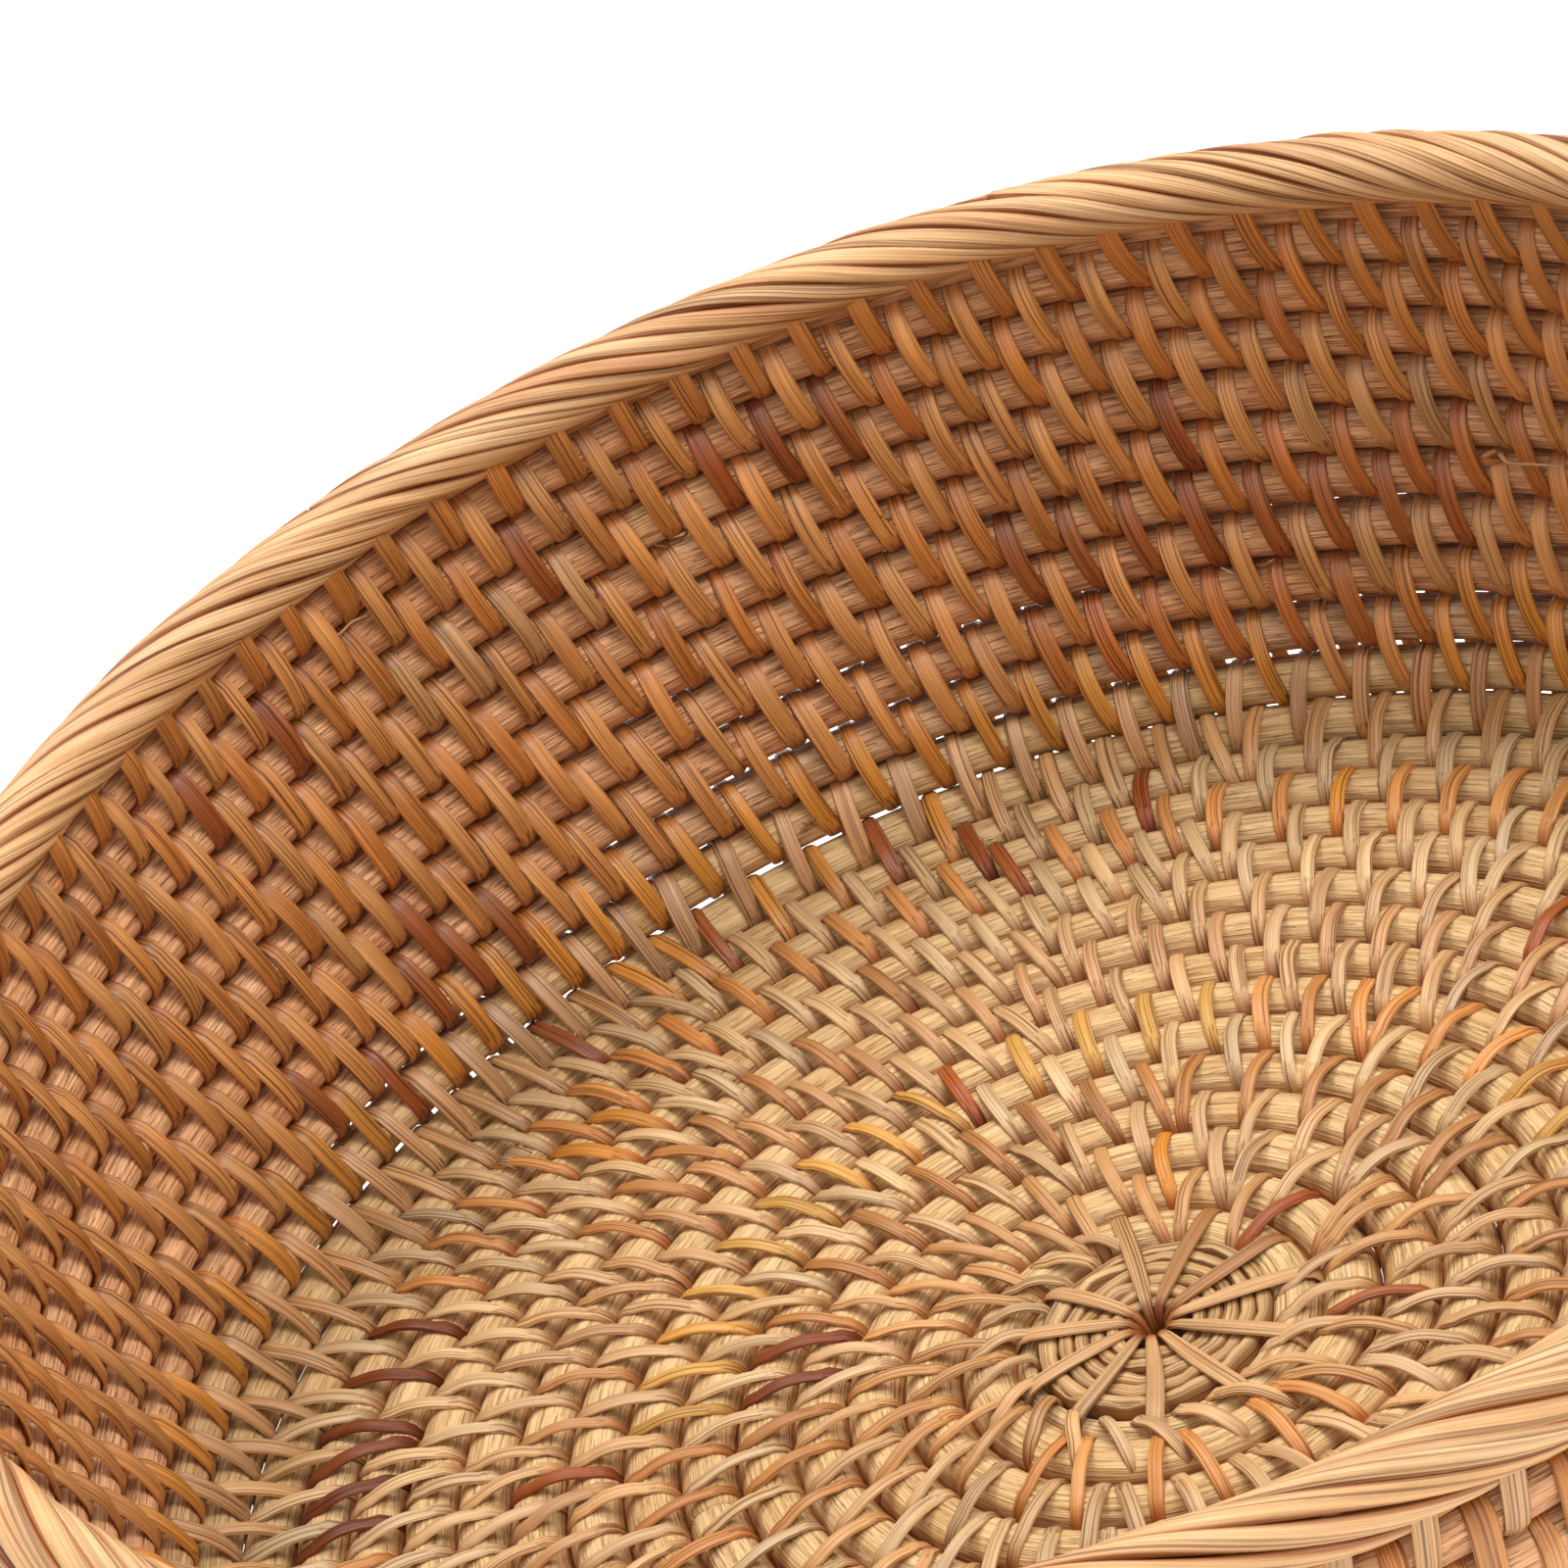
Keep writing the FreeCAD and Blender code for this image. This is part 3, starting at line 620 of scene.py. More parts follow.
def edge_strip(path, seed, top=0.0, thin=None):
    t = unit(np.gradient(path, axis=0))
    up = np.array([0, 0, 1.0]) * np.ones((len(path), 1))
    out = np.cross(t, up)
    L = np.concatenate([[0], np.cumsum(np.linalg.norm(np.diff(path, axis=0), axis=1))])
    wob = 0.40 * wander(L, seed, 15.0) + top
    sq = 1 + 0.14 * wander(L, seed + 1, 11.0)
    if thin is not None:
        sq = sq * thin
    v = path[:, None] + out[:, None] * (sec[None, :, 0:1] * sq[:, None, None]) \
        + up[:, None] * (sec[None, :, 1:2] + wob[:, None, None] * (sec[None, :, 1:2] > 0))
    strand = np.stack(np.broadcast_arrays(sec[None, :, 0] + 0.0 * L[:, None], sec[None, :, 1] + 7.0 * seed, L[:, None]), -1)
    # the strip darkens towards its lower part and along its flanks against the next turn: partly dirt, partly painted
    # shade
    g = np.clip((1.6 - sec[:, 1]) / 3.0, 0, 1)[None] * 0.9 + np.zeros((len(path), 1))
    g = g + 0.6 * (np.abs(sec[:, 0]) > HT / 2 - 0.35)[None]
    tone = TONE["hub"] + 0.0 * L[:, None]
    tone = tone * (1 + 0.13 * wander(L, seed + 2, 16.0))[:, None]
    bag.grid(v, strand, tone[:, None], g, False)


pts = []
for i in range(10):
    a, b = hub_x[i], hub_x[i + 1]
    th = np.linspace(0, PI, 40)[(0 if i == 0 else 1):]
    m_, d_ = (a + b) / 2, (a - b) / 2
    pts.append(np.stack([m_ + d_ * np.cos(th), (1 if i % 2 == 0 else -1) * abs(d_) * np.sin(th), np.full_like(th, Z0)], -1))
edge_strip(np.concatenate(pts), 21, 0.25)
# its outer end lies along the first rod and closes the gap between the two
th = np.linspace(0.02, 1.45 * PI, 70)
rr_ = 15.25 + 0.15 * np.sin(th * 1.7)
edge_strip(np.stack([rr_ * np.cos(th), rr_ * np.sin(th), np.full_like(th, Z0)], -1), 25, 0.1,
           np.interp(th, [0, PI, 1.45 * PI], [1.0, 0.75, 0.35]))
bag.build("starter_coil_strip", "starter_coil", M_LIGHT)

# ------------------------------------------------------------------ stitches
K_SEC = 10


def strip_section(w, t, dome):
    """w (..), returns across and height of the K_SEC section points, (.., K)"""
    xs = np.array([-0.5, -0.44, -0.24, 0.0, 0.24, 0.44, 0.5, 0.40, 0.0, -0.40])
    hs = np.array([-0.10, 0.34, 0.50, 0.50, 0.50, 0.34, -0.10, -0.48, -0.50, -0.48])
    dm = np.array([0, 0.25, 0.8, 1.0, 0.8, 0.25, 0, 0, 0, 0])
    return w[..., None] * xs, t * hs + dome * dm


def stitch_list():
    """running angles (top end, bottom end) of every stitch, as the CAD lays them"""
    plan = lambda x: float(coil_plain(x)[2][0])
    ends = [TWO * (k + 0.5) / 11 for k in range(11)]
    out, gi, prev_u, prev_e = [], 0, TWO - 0.25, None
    END = (NH + 3) * PI - 0.05
    while True:
        r_out = plan(prev_u) if prev_u < (NH + 1) * PI else RIM_R
        u = prev_u + SPACING / r_out
        if u > END:
            break
        r_in = plan(u - TWO)
        e = u - TWO - LEAN / r_out
        while gi + 1 < len(ends) - 1 and ends[gi + 1] <= e:
            gi += 1
        if gi + 1 >= len(ends):
            break
        tries = 0
        while True:
            lo, hi = ends[gi], ends[gi + 1]
            room = ROOM / r_in
            a = lo + room
            if prev_e is not None and prev_e + room > a:
                a = prev_e + room
            b = hi - room
            if a <= b + 0.25 / r_in:
                break
            gi += 1
            tries += 1
            if gi + 1 >= len(ends) or tries > 3:
                break
        if gi + 1 >= len(ends):
            break
        if u > TWO * 15.4:
            want = lo + 0.35 * (hi - lo)
            e2 = max(a, min(b, want)) if a <= b else 0.5 * (a + b)
            u2 = e2 + TWO + LEAN / r_out
        else:
            want = 0.5 * e + 0.5 * (lo + 0.36 * (hi - lo))
            e2 = max(a, min(b, want)) if a <= b else 0.5 * (a + b)
            u2 = u + 0.55 * (e2 - e)
        lean = max(-0.3, min(3.4, (u2 - TWO - e2) * r_out))
        u2 = e2 + TWO + lean / r_out
        if u2 - prev_u < 4.0 / r_out:
            u2 = prev_u + 4.0 / r_out
        out.append((u2, e2 + TWO))
        ends.append(u2)
        prev_u, prev_e = u2, e2
    return np.array(out)


ST = stitch_list()
_k = np.arange(5, 22)
_u0 = TWO * (_k + 0.72) / 22
ST = np.concatenate([np.stack([_u0, _u0 - 0.10], -1), ST])
U, E = ST[:, 0], ST[:, 1]
MIDA = 0.5 * (U + E)
ROW = np.floor(MIDA / TWO).astype(int)
RIM_TIE = MIDA > (NH + 1) * PI
NS_ = len(U)
print("stitches", NS_, "rows", ROW.min(), ROW.max())
rng = np.random.default_rng(2024)
pb, tb, r_b = coil(MIDA)
pa, ta, r_a = coil(MIDA - TWO)
dv = pb - pa
DIST = np.linalg.norm(dv, axis=1)
YV = dv / DIST[:, None]
XV = ta + tb
XV = unit(XV - YV * np.sum(XV * YV, -1, keepdims=True))
ZV = np.cross(XV, YV)
x_b = (U - MIDA) * r_b
x_a = (E - MIDA) * r_a
SLOPE = (x_b - x_a) / DIST + rng.normal(0, 0.022, NS_)
ORG = (pa + pb) * 0.5 + XV * (0.5 * (x_a + x_b) + rng.normal(0, 0.10, NS_))[:, None]
turn = MIDA / TWO
WIDTH = np.interp(turn, [0, 2, 4, 9, 13, 15.5, 18, 25], [1.95, 2.05, 2.15, 2.25, 2.40, 2.85, 3.10, 3.18])
WIDTH = WIDTH * (1 + np.clip(rng.normal(0, 0.07, NS_), -0.16, 0.18))
THICK = 0.58
R_OUT = rod_radius(turn)
R_IN = rod_radius(turn - 1)
tail = (MIDA > NH * PI) & (MIDA <= (NH + 1) * PI)
tail_rad = lambda a: 3.86 + (TAIL_R + 0.25 - 3.86) * np.clip((a - NH * PI) / PI, 0, 1)
R_OUT = np.where(tail, tail_rad(MIDA), R_OUT)
R_OUT = np.where(MIDA > (NH + 1) * PI, 3.3, R_OUT)
R_IN = np.where(MIDA - TWO > NH * PI, tail_rad(MIDA - TWO), R_IN)
FIRST = MIDA < TWO
R_IN = np.where(FIRST, 3.45, R_IN)

# path of a band in its own frame: front (seen from inside the bowl), over the
# outer rod, back, under the inner rod
al = np.linspace(-90, 90, 8)[1:-1] * PI / 180
NF, NB = 8, 5
front_y = np.linspace(-1, 1, NF)
back_y = np.linspace(1, -1, NB)
M_ = NF + len(al) + NB + len(al)
flatz = np.clip((turn - 13.5) / 2.0, 0, 1)  # 0 on the base, 1 on the wall
RZF_O, RZF_I = R_OUT + 0.06 + THICK / 2, R_IN + 0.06 + THICK / 2
RZB_O = np.where(flatz > 0, R_OUT + 0.02 + THICK / 2, 0) * flatz + (Z0 - 0.24 - THICK / 2) * (1 - flatz)
RZB_I = np.where(flatz > 0, R_IN + 0.02 + THICK / 2, 0) * flatz + (Z0 - 0.24 - THICK / 2) * (1 - flatz)
RY_O = np.minimum(R_OUT + 0.08, 3.88)
RY_I = np.minimum(R_IN + 0.08, 3.88)
RY_I = np.where(FIRST, wedge(np.minimum(MIDA - TWO, -0.001))[1] + 0.1, RY_I)
H = DIST / 2
BULGE = np.interp(turn, [0, 13, 15, 17, 25], [0.85, 0.80, 0.45, 0.45, 0.50]) + rng.normal(0, 0.13, NS_)
py = np.zeros((NS_, M_))
pz = np.zeros((NS_, M_))
ny = np.zeros((NS_, M_))
nz = np.zeros((NS_, M_))
for j in range(NF):
    f = front_y[j]
    py[:, j] = H * f
    pz[:, j] = -(RZF_I * (1 - f) / 2 + RZF_O * (1 + f) / 2) - BULGE * (1 - f * f)
    nz[:, j] = -1
    ny[:, j] = -0.12 * 0
o = NF
for j, a in enumerate(al):
    rz = RZF_O if a < 0 else RZB_O
    py[:, o + j] = H + RY_O * math.cos(a)
    pz[:, o + j] = rz * math.sin(a)
    ny[:, o + j] = math.cos(a)
    nz[:, o + j] = math.sin(a)
o += len(al)
for j in range(NB):
    f = back_y[j]
    py[:, o + j] = H * f
    pz[:, o + j] = RZB_I * (1 - f) / 2 + RZB_O * (1 + f) / 2
    nz[:, o + j] = 1
o += NB
for j, a in enumerate(al[::-1]):
    rz = RZF_I if a < 0 else RZB_I
    py[:, o + j] = -H - RY_I * math.cos(a)
    pz[:, o + j] = rz * math.sin(a)
    ny[:, o + j] = -math.cos(a)
    nz[:, o + j] = math.sin(a)
CURVE = np.interp(turn, [13, 17], [0.0085, 0.0050]) + rng.normal(0, 0.003, NS_)
px = SLOPE[:, None] * py - CURVE[:, None] * (py * py - 16.0)
px = px + (rng.normal(0, 0.006, NS_)[:, None] * py * np.sign(-pz))
LOC = np.stack([px, py, pz], -1)
NRM = np.stack([np.zeros_like(ny), ny, nz], -1)
# each thin strip is framed along its path and twisted a little at random, more towards its lower end on the front
TANG = unit(np.roll(LOC, -1, axis=1) - np.roll(LOC, 1, axis=1))
WDIR = unit(np.cross(NRM, TANG))
NRM = np.cross(TANG, WDIR)
twist = rng.normal(0, 0.075, NS_)[:, None] * np.ones((1, M_))
twist = twist + 0.10 * np.clip(-py / 8.0, 0, 1) * (pz < 0)
ct, stt = np.cos(twist)[..., None], np.sin(twist)[..., None]
WDIR, NRM = WDIR * ct + NRM * stt, NRM * ct - WDIR * stt
wmul = 1.0 - 0.10 * np.clip((np.abs(py) - H[:, None] - 1.5) / 2.0, 0, 1)
acr, hgt = strip_section(WIDTH[:, None] * wmul, THICK, 0.20)
VERT = LOC[:, :, None] + WDIR[:, :, None] * acr[..., None] + NRM[:, :, None] * (hgt[None, None] * np.ones_like(acr))[..., None]
WORLD = (ORG[:, None, None] + XV[:, None, None] * VERT[..., 0:1] + YV[:, None, None] * VERT[..., 1:2]
         + ZV[:, None, None] * VERT[..., 2:3])
WORLD[..., 2] = np.maximum(WORLD[..., 2], 0.03)  # underneath it is worn flat
SEG = np.linalg.norm(np.diff(LOC, axis=1), axis=-1)
ALONG = np.concatenate([np.zeros((NS_, 1)), np.cumsum(SEG, axis=1)], axis=1) + (np.arange(NS_) * 41.7)[:, None]
STRAND = np.stack([acr, np.broadcast_to((np.arange(NS_) // 30)[:, None, None] * 3.7, acr.shape) + hgt * 0.5,
                   np.broadcast_to(ALONG[:, :, None], acr.shape)], -1)
# strips darken where they sink into the gaps between the rods: partly dirt, partly painted shade
GRIME_AND_SHADE = np.clip((np.abs(py) - H[:, None] - 1.2) / 2.3, 0, 1) * 0.75 + 0.10
TINT = np.zeros((NS_, 3))
PHI = np.degrees(MIDA) % 360
for i in range(NS_):
    TINT[i] = TONE[row_tone(int(ROW[i]), float(PHI[i]), i)]
single = rng.uniform(0, 1, NS_)
for i in np.where(single < 0.018)[0]:
    TINT[i] = TONE["dkorange"] if single[i] < 0.010 else TONE["redbrown"]
bright = 1 + 0.07 * wander(np.arange(NS_), 77, 9.0) + rng.normal(0, 0.055, NS_)
warm = rng.normal(0, 0.03, NS_)
bright = bright * np.interp(turn, [12, 15], [1.07, 1.0])
bright = bright * (1 - 0.07 * np.clip(turn - 15.5, 0, 1) * np.exp(-((PHI - 158.0) / 48.0) ** 2))
TINT = TINT * bright[:, None] * np.stack([1 + warm, np.ones(NS_), 1 - 1.6 * warm], -1)
TINT = np.clip(TINT, 0.005, 0.95)
# on the wall each strip gets a painted highlight where it comes over the upper rod, and painted shade towards its lower
# end
UPPER_HIGHLIGHT = np.clip(py / H[:, None], 0, 1) * (pz < 0) * flatz[:, None]
LOWER_SHADE = np.clip(-py / H[:, None], 0, 1) * (pz < 0) * flatz[:, None]
TINTV = TINT[:, None] * (1 + 0.12 * UPPER_HIGHLIGHT - 0.06 * LOWER_SHADE)[..., None] + np.array([0.032, 0.040, 0.036]) * UPPER_HIGHLIGHT[..., None]
TINTV = np.clip(TINTV, 0.005, 0.95)



def spot(k, deg, lift=0.0, along=0.0):
    """point on the inner face: k is the turn (fractions lie between two turns)"""
    k0 = int(math.floor(k))
    a = np.array([k0 * TWO + math.radians(deg)])
    p0, t0, _ = coil(a)
    p1, _t, _ = coil(a + TWO)
    y, t = unit(p1 - p0)[0], unit(t0)[0]
    face = -np.cross(t, y)
    return p0[0] + (p1 - p0)[0] * (k - k0) + face * lift + t * along


def fibre(bag, pts, r, tone, seed):
    """a loose fibre: thin, tapering, through the given points"""
    pts = np.asarray(pts, float)
    d = np.concatenate([[0], np.cumsum(np.linalg.norm(np.diff(pts, axis=0), axis=1))])
    u = np.linspace(0, d[-1], 6 * len(pts))
    path = np.stack([np.interp(u, d, pts[:, i]) for i in range(3)], -1)
    for _ in range(5):
        path[1:-1] = 0.25 * path[:-2] + 0.5 * path[1:-1] + 0.25 * path[2:]
    t = unit(np.gradient(path, axis=0))
    side = unit(np.cross(t, np.array([0.31, 0.22, 0.92]) + 0 * t))
    nn = np.cross(side, t)
    th = np.arange(7) * TWO / 7
    rad = r * np.clip(1.15 - u / d[-1], 0.25, 1) ** 0.6
    v = path[:, None] + rad[:, None, None] * (side[:, None] * (1.5 * np.cos(th))[None, :, None]
                                               + nn[:, None] * np.sin(th)[None, :, None])
    strand = np.stack(np.broadcast_arrays(r * np.cos(th)[None], r * np.sin(th)[None] + seed, u[:, None]), -1)
    bag.grid(v, strand, tone, 0.15, False)


KNOTS = [(20.3, 85.5, 5), (18.5, 131.0, 4), (14.9, 97.0, 4), (12.3, 86.0, 3), (13.4, 118.0, 4),
         (11.9, 129.0, 5), (21.6, 97.0, 4), (17.45, 64.5, 4)]


def loose_ends(bag, n):
    """where a strip runs out its end is tucked beside the rod and frays"""
    for j, (k, deg, num) in enumerate(KNOTS):
        if int(math.ceil(k)) != n:
            continue
        r2 = np.random.default_rng(7000 + j)
        for q in range(num):
            s0 = r2.uniform(-2.2, 2.2)
            w0, w1 = r2.uniform(-0.16, 0.05), r2.uniform(0.05, 0.20)
            run = r2.uniform(0.8, 2.8) * (1 if q % 2 else -1)
            tone = TONE["straw" if q % 3 else "rust"] * r2.uniform(0.75, 1.05)
            fibre(bag, [spot(k + w0, deg, 2.6, s0), spot(k + (w0 + w1) / 2, deg, 4.1 + 0.4 * r2.uniform(), s0 + run / 2),
                        spot(k + w1, deg, 4.3 + 0.7 * r2.uniform(), s0 + run)], r2.uniform(0.22, 0.42), tone, j + q)
    if n == 12:
        # a little comb of torn fibres lying over the rod
        for q in range(9):
            s0 = -1.9 + 0.45 * q
            fibre(bag, [spot(11.62, 129.0, 4.3, s0), spot(11.80, 129.0, 5.0, s0 + 0.25), spot(12.02, 129.0, 5.1, s0 + 0.5),
                        spot(12.18, 129.0, 4.4, s0 + 0.6)], 0.19, TONE["straw"] * (1.05 if q % 2 else 0.8), 60 + q)
    if n == 20:
        fibre(bag, [spot(19.5, 46.4, 3.0), spot(19.62, 46.1, 4.9), spot(19.58, 45.7, 6.6, -1.0),
                    spot(19.70, 44.7, 8.2, -2.0), spot(19.78, 42.9, 9.0), spot(19.74, 40.9, 8.4)], 0.30, TONE["straw"] * 1.05, 41)
        fibre(bag, [spot(19.40, 46.8, 3.4), spot(19.50, 47.1, 5.0), spot(19.62, 47.0, 5.4), spot(19.66, 46.5, 4.4)],
              0.75, TONE["honeytan"], 42)
    if n == 24:
        fibre(bag, [spot(23.55, 119.4, 3.4), spot(23.68, 119.0, 5.3), spot(23.80, 118.2, 6.0), spot(23.74, 117.2, 6.4)],
              0.24, TONE["straw"], 43)


TIES_ROW = 12
for n in range(1, 25):
    # the border's own lashing goes with the top row
    idx = np.where((ROW == n) | ((ROW > 24) & (n == 24)) | ((ROW < 1) & (n == 1)))[0]
    groups = [("lashing_row_%02d" % n, idx)]
    if n == TIES_ROW:
        step = len(idx) / 8.0
        pick = [int(k * step + 0.5) for k in range(8)]
        keep = np.ones(len(idx), bool)
        keep[pick] = False
        groups = [("lashing_row_%02d_ties" % n, idx[~keep]), ("lashing_row_%02d" % n, idx[keep])]
    for label, ii in groups:
        bag = Bag()
        bag.bands(WORLD[ii], STRAND[ii], TINTV[ii][:, :, None], GRIME_AND_SHADE[ii][:, :, None])
        if not label.endswith("ties"):
            loose_ends(bag, n)
        light = n <= 13
        bag.build(label + "_strips", label,
                  M_LIGHT if light else M_HONEY, 38)

# ------------------------------------------------------------------ centre
bag = Bag()
for k in range(11):
    a0 = TWO * (k + 0.5) / 11
    c, tg, _ = coil(a0)
    rc = float(np.hypot(c[0, 0], c[0, 1]))
    az = math.atan2(c[0, 1], c[0, 0])
    rr = np.random.default_rng(90 + k)
    short = k >= 3
    if short:
        rc = float(wedge(np.array([a0 - TWO]))[0][0] + wedge(np.array([a0 - TWO]))[1][0]) - 2.6
    zf, zb = 4.12, 3.45
    xin = HOLE - 1.35 - 0.2 * rr.uniform(0, 1)
    poly = [(xin, -zb + 0.8), (xin + 0.3, -zb + 0.1), (xin + 1.4, -zb)]
    poly += [(xin + 1.4 + (rc - xin - 1.4) * f, -zb) for f in (0.3, 0.6, 1.0)]
    poly += [(rc + (3.0 if short else 3.7) * math.cos(a), (zf if a > 0 else zb) * math.sin(a)) for a in np.radians([-60, -30, 0, 30, 60])]
    poly += [(rc + (xin + 2.6 - rc) * f, zf + 0.25 * math.sin(PI * f)) for f in (0, 0.17, 0.34, 0.5, 0.67, 0.84, 1.0)]
    poly += [(xin + 1.2, zf - 0.35), (xin + 0.35, zf - 1.3), (xin, 1.4), (xin, -1.2)]
    pl = np.array(poly)
    # side bend: the strands lean as they leave the hole
    bend = rr.normal(0, 0.35)
    q = np.clip((pl[:, 0] - xin) / (rc - xin), 0, 1.2)
    side = bend * np.sin(PI * q) + 0.10 * pl[:, 0] * rr.normal(0, 0.25)
    side = side * (pl[:, 1] > 0) + 0.3 * side * (pl[:, 1] <= 0)
    if short:
        side = side + 0.13 * (pl[:, 0] - xin)
    loc = np.stack([pl[:, 0], side, pl[:, 1]], -1)
    tg_ = unit(np.roll(loc, -1, axis=0) - np.roll(loc, 1, axis=0))
    nr = np.stack([tg_[:, 2], np.zeros(len(pl)), -tg_[:, 0]], -1)
    nr = unit(nr)
    wd = np.cross(nr, tg_)
    width = np.interp(pl[:, 0], [1.8, 3.0, 6, 12, 40], [1.1, 1.4, 2.0, 2.55, 2.5])
    ac, hg = strip_section(width, 0.55, 0.12)
    v = loc[:, None] + wd[:, None] * ac[..., None] + nr[:, None] * (np.ones_like(ac) * hg)[..., None]
    ca, sa = math.cos(az), math.sin(az)
    x_, y_, z_ = v[..., 0] * ca - v[..., 1] * sa, v[..., 0] * sa + v[..., 1] * ca, v[..., 2] + Z0
    v = np.stack([x_, y_, z_], -1)
    L = np.concatenate([[0], np.cumsum(np.linalg.norm(np.diff(loc, axis=0), axis=1))]) + 53.0 * k
    strand = np.stack([ac, 2.9 * k + 0 * ac, np.broadcast_to(L[:, None], ac.shape)], -1)
    # strands darken inside the hole and beyond the rod they wrap: partly dirt, partly painted shade
    g = np.clip((4.6 - pl[:, 0]) / 2.6, 0, 1)[:, None] * 1.5 + np.clip((pl[:, 0] - rc - 1.5) / 2.0, 0, 1)[:, None] * 0.7
    tone = TONE["tan"] * 0.55 + TONE["pale"] * 0.45
    if k in (0, 1):
        tone = TONE["rust"] * 0.8
    tone = tone * (1 + rr.normal(0, 0.07))
    bag.bands(v[None], strand[None], tone[None, None, None], (g + 0 * ac)[None])
# the strands' ends, packed in the hole; their near-black tint is painted shade of the hole
th = np.linspace(0, TWO, 25)[:-1]
rows_ = []
for j, (rr_, zz_) in enumerate([(0.15, 3.2), (0.9, 3.05), (1.7, 2.6), (2.25, 1.7), (2.2, 0.6), (1.4, 0.3), (0.15, 0.3)]):
    lump = 1 + 0.12 * np.sin(5 * th + j) if 0 < j < 6 else 1 + 0 * th
    rows_.append(np.stack([rr_ * lump * np.cos(th), rr_ * lump * np.sin(th), zz_ + 0.25 * np.sin(7 * th + 2 * j) * (0 < j < 4)], -1))
plug = np.array(rows_)
bag.grid(plug, plug * 1.0, TONE["brown"] * 0.45, 1.0, False, True)
bag.build("centre_lashing_strips", "centre_lashing", M_LIGHT, 38)

# ------------------------------------------------------------------ rim
NR, TW = 10, 10
K_R = 16
bag = Bag()
phi = np.linspace(0, TWO, 361)[:-1]
th = np.arange(24) * TWO / 24
q = RIM_R + 3.1 * np.cos(th)[None] + 0 * phi[:, None]
v = np.stack([q * np.cos(phi)[:, None], q * np.sin(phi)[:, None], RIM_Z + 3.1 * np.sin(th)[None] + 0 * q], -1)
strand = np.stack(np.broadcast_arrays(3 * np.cos(th)[None], 3 * np.sin(th)[None], 144 * phi[:, None]), -1)
# the core is darkened as painted shade, since it shows only in the seams between the reeds
bag.grid(v, strand, TONE["rim3"] * 0.6, 0.9, True)
bag.build("rim_core_rod", "rim_core", M_WALL)

for k in range(NR):
    bag = Bag()
    b0 = TWO * k / NR
    shift = 0.08 + 0.061 * k
    n = 420
    t = np.linspace(shift, shift + 1 - 0.0004, n)
    a = TWO * t
    Lr = a * 144.0
    lean_ = 0.075 * wander(Lr, 300 + k, 150.0)
    b = b0 - TW * a + lean_
    rh = 4.12 + 0.22 * wander(Lr, 320 + k, 70.0)
    q = RIM_R + rh * np.cos(b)
    c = np.stack([q * np.cos(a), q * np.sin(a), RIM_Z + rh * np.sin(b)], -1)
    out = unit(np.stack([np.cos(b) * np.cos(a), np.cos(b) * np.sin(a), np.sin(b)], -1))
    tg_ = unit(np.gradient(c, axis=0))
    nr = unit(out - tg_ * np.sum(out * tg_, -1, keepdims=True))
    wd = np.cross(nr, tg_)
    tilt = 0.10 + 0.10 * wander(Lr, 340 + k, 90.0)
    ctl, stl = np.cos(tilt)[:, None], np.sin(tilt)[:, None]
    wd, nr = wd * ctl + nr * stl, nr * ctl - wd * stl
    ww = 1.46 * (1 + 0.13 * wander(Lr, 360 + k, 110.0))
    hh = 1.02 * (1 + 0.06 * wander(Lr, 380 + k, 80.0))
    thr = np.arange(K_R) * TWO / K_R
    # a flattened reed: wide, with a low crown and rounded edges
    cx = np.sign(np.cos(thr)) * np.abs(np.cos(thr)) ** 0.85
    cy = np.sign(np.sin(thr)) * np.abs(np.sin(thr)) ** 0.80
    rid = 1 + 0.0 * thr
    groove = 0.05 * np.sin(5 * thr[None] + 1.5 * wander(Lr, 400 + k, 120.0)[:, None])
    v = c[:, None] + wd[:, None] * (ww[:, None] * cx[None] * rid)[..., None] \
        + nr[:, None] * (hh[:, None] * cy[None] + groove * np.clip(cy, 0, 1))[..., None]
    strand = np.stack(np.broadcast_arrays(cx[None] * ww[:, None], cy[None] * hh[:, None] + 5.3 * k, Lr[:, None]), -1)
    # each reed darkens at its edges and on its underside: partly dirt, partly painted shade
    g = np.clip((np.abs(cx) - 0.70) / 0.30, 0, 1)[None] ** 1.2 * np.ones((n, 1))
    g = g + np.clip(-cy[None] * 2, 0, 1)
    mixv = np.clip(0.5 + 0.5 * wander(Lr, 420 + k, 300.0), 0, 1)[:, None]
    third = np.clip(wander(Lr, 440 + k, 240.0) - 0.35, 0, 1)[:, None]
    tone = TONE["rim"] * (1 - mixv) + TONE["rim2"] * mixv
    tone = tone * (1 - third) + TONE["rim3"] * third
    tone = tone * (1 + np.random.default_rng(460 + k).normal(0, 0.05))
    bag.grid(v, strand, tone[:, None], g, False)
    bag.build("rim_reed_%02d_skin" % (k + 1), "rim_reed_%02d" % (k + 1), M_REED)

# ------------------------------------------------------------------ floor, light, camera
me = bpy.data.meshes.new("floor")
s_ = 6.0
me.from_pydata([(-s_, -s_, 0), (s_, -s_, 0), (s_, s_, 0), (-s_, s_, 0)], [], [(0, 1, 2, 3)])
floor = bpy.data.objects.new("floor", me)
bpy.context.scene.collection.objects.link(floor)
fm = bpy.data.materials.new("pale_floor")
fm.use_nodes = True
fb = fm.node_tree.nodes["Principled BSDF"]
fb.inputs["Base Color"].default_value = (0.86, 0.86, 0.855, 1)
fb.inputs["Roughness"].default_value = 0.9
fb.inputs["Specular IOR Level"].default_value = 0.1
fb.inputs["Emission Color"].default_value = (1, 1, 1, 1)
fb.inputs["Emission Strength"].default_value = 0.50
me.materials.append(fm)

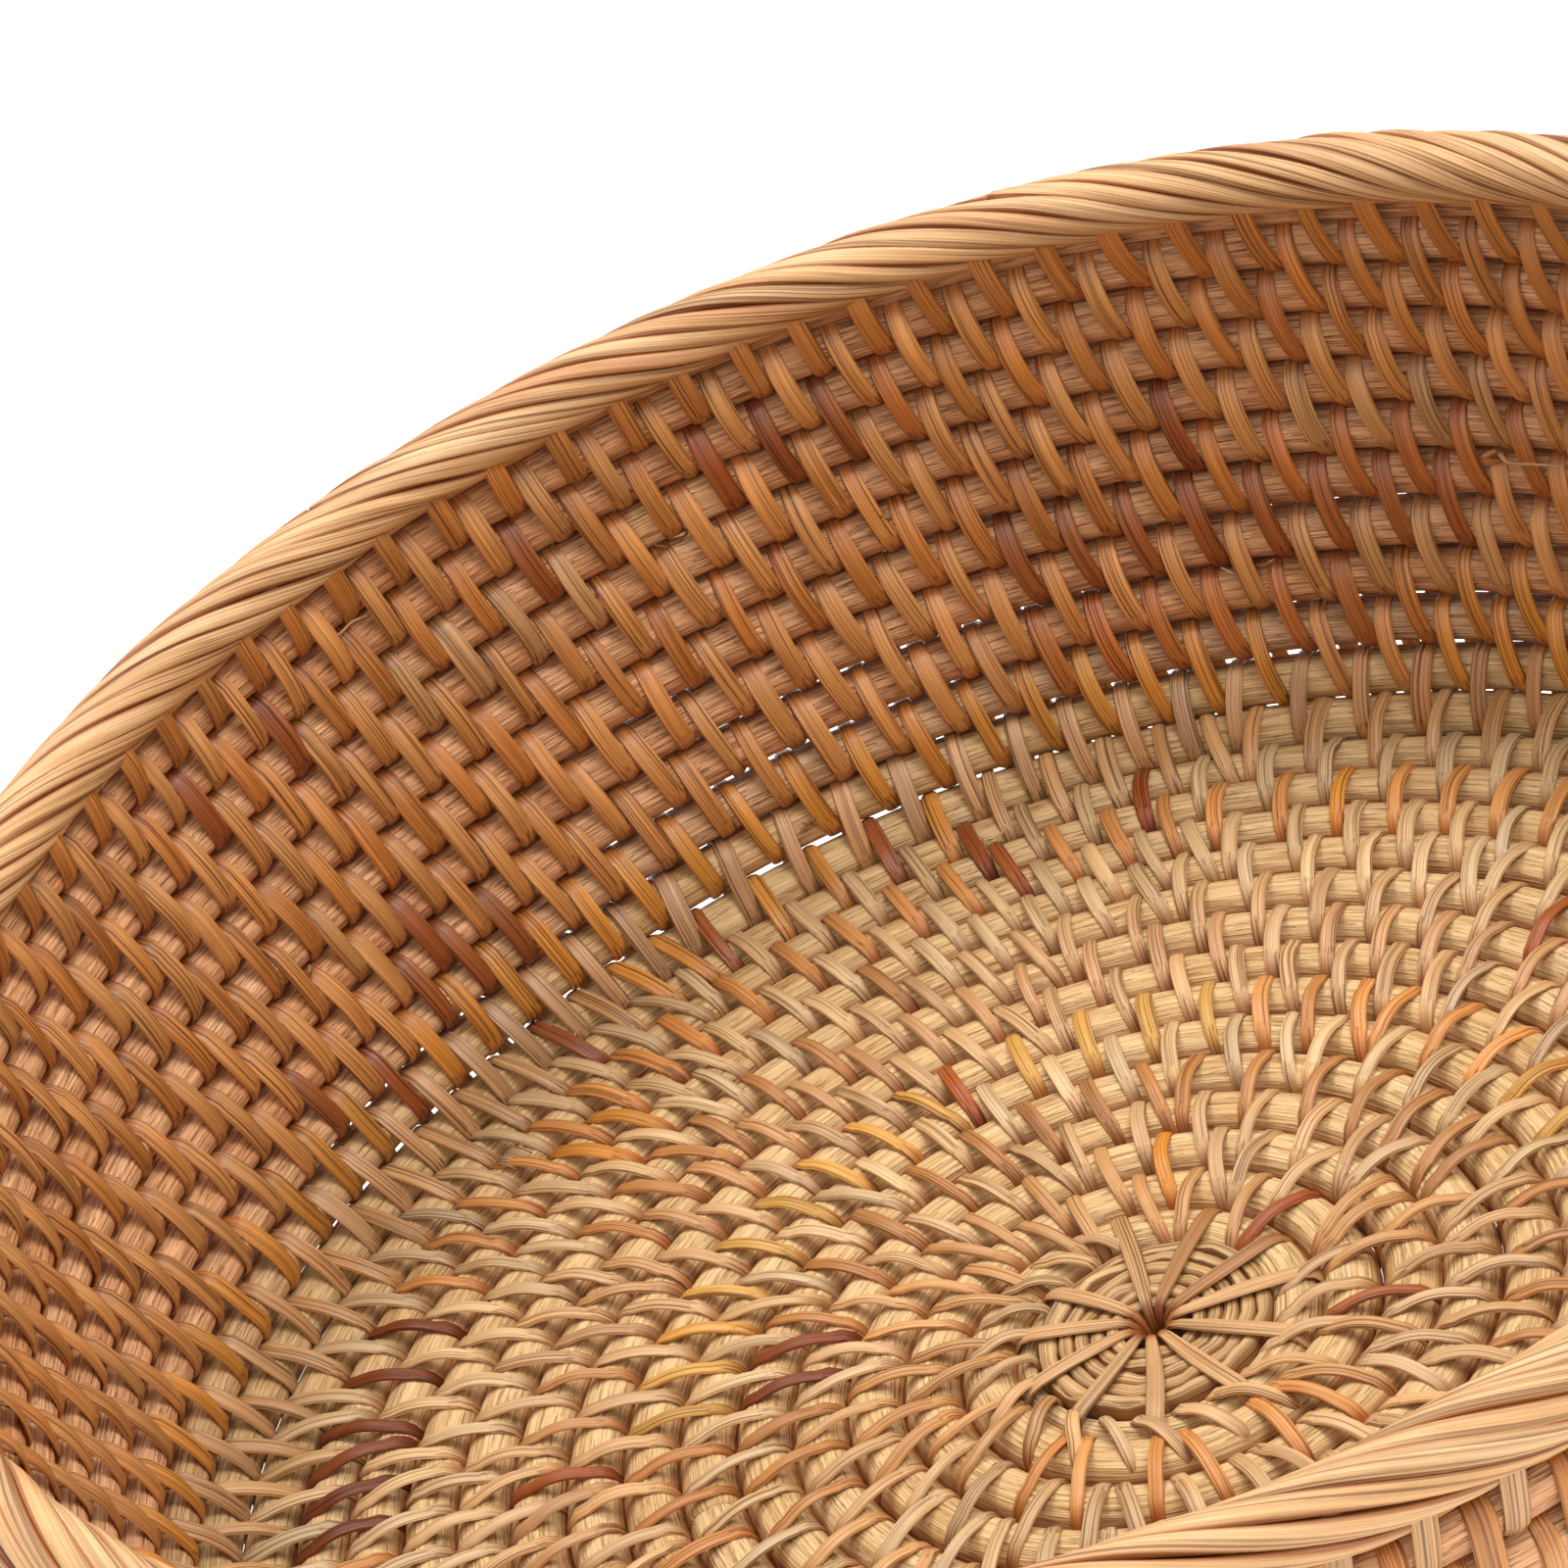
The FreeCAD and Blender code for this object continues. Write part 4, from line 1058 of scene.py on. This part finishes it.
world = bpy.data.worlds.new("studio")
bpy.context.scene.world = world
world.use_nodes = True
wt = world.node_tree
bg = wt.nodes["Background"]
bg.inputs[0].default_value = (1.0, 0.985, 0.96, 1)
bg.inputs[1].default_value = 0.75
bg2 = wt.nodes.new("ShaderNodeBackground")
bg2.inputs[0].default_value = (1.0, 1.0, 1.0, 1)
bg2.inputs[1].default_value = 1.0
lp = wt.nodes.new("ShaderNodeLightPath")
wm = wt.nodes.new("ShaderNodeMixShader")
wt.links.new(lp.outputs["Is Camera Ray"], wm.inputs[0])
wt.links.new(bg.outputs[0], wm.inputs[1])
wt.links.new(bg2.outputs[0], wm.inputs[2])
wt.links.new(wm.outputs[0], wt.nodes["World Output"].inputs[0])


def area(name, loc, target, size, power, color):
    li = bpy.data.lights.new(name, "AREA")
    li.shape = "SQUARE"
    li.size = size
    li.energy = power
    li.color = color
    ob = bpy.data.objects.new(name, li)
    ob.location = loc
    d = (Vector(target) - Vector(loc)).normalized()
    ob.rotation_euler = d.to_track_quat("-Z", "Y").to_euler()
    bpy.context.scene.collection.objects.link(ob)
    return ob


area("key_back", (0.0, 0.75, 1.45), (0, 0, 0.03), 0.6, 15.0, (1.0, 0.985, 0.96))
area("top_soft", (0.75, -0.30, 1.40), (-0.06, 0.02, 0.03), 0.7, 14.0, (1.0, 0.99, 0.97))
area("front_fill", (-0.15, -1.05, 0.95), (0, 0.08, 0.05), 0.5, 2.0, (1.0, 0.985, 0.955))

el = math.radians(32.399)
roll = -0.39551
DISTC = 0.822608
target = Vector((-0.01737, 0.16339, 0.0039))
fw = Vector((0, math.cos(el), -math.sin(el)))
right = Vector((1, 0, 0))
up = Vector((0, math.sin(el), math.cos(el)))
rx = math.cos(roll) * right + math.sin(roll) * up
ux = -math.sin(roll) * right + math.cos(roll) * up
cam = bpy.data.cameras.new("camera")
cam.sensor_width = 36.0
cam.lens = 118.53
cam.clip_start = 0.01
cam.clip_end = 50.0
camo = bpy.data.objects.new("camera", cam)
loc = target - fw * DISTC
camo.matrix_world = Matrix(((rx.x, ux.x, -fw.x, loc.x), (rx.y, ux.y, -fw.y, loc.y),
                            (rx.z, ux.z, -fw.z, loc.z), (0, 0, 0, 1)))
bpy.context.scene.collection.objects.link(camo)
bpy.context.scene.camera = camo
bpy.context.scene.view_settings.view_transform = "Standard"
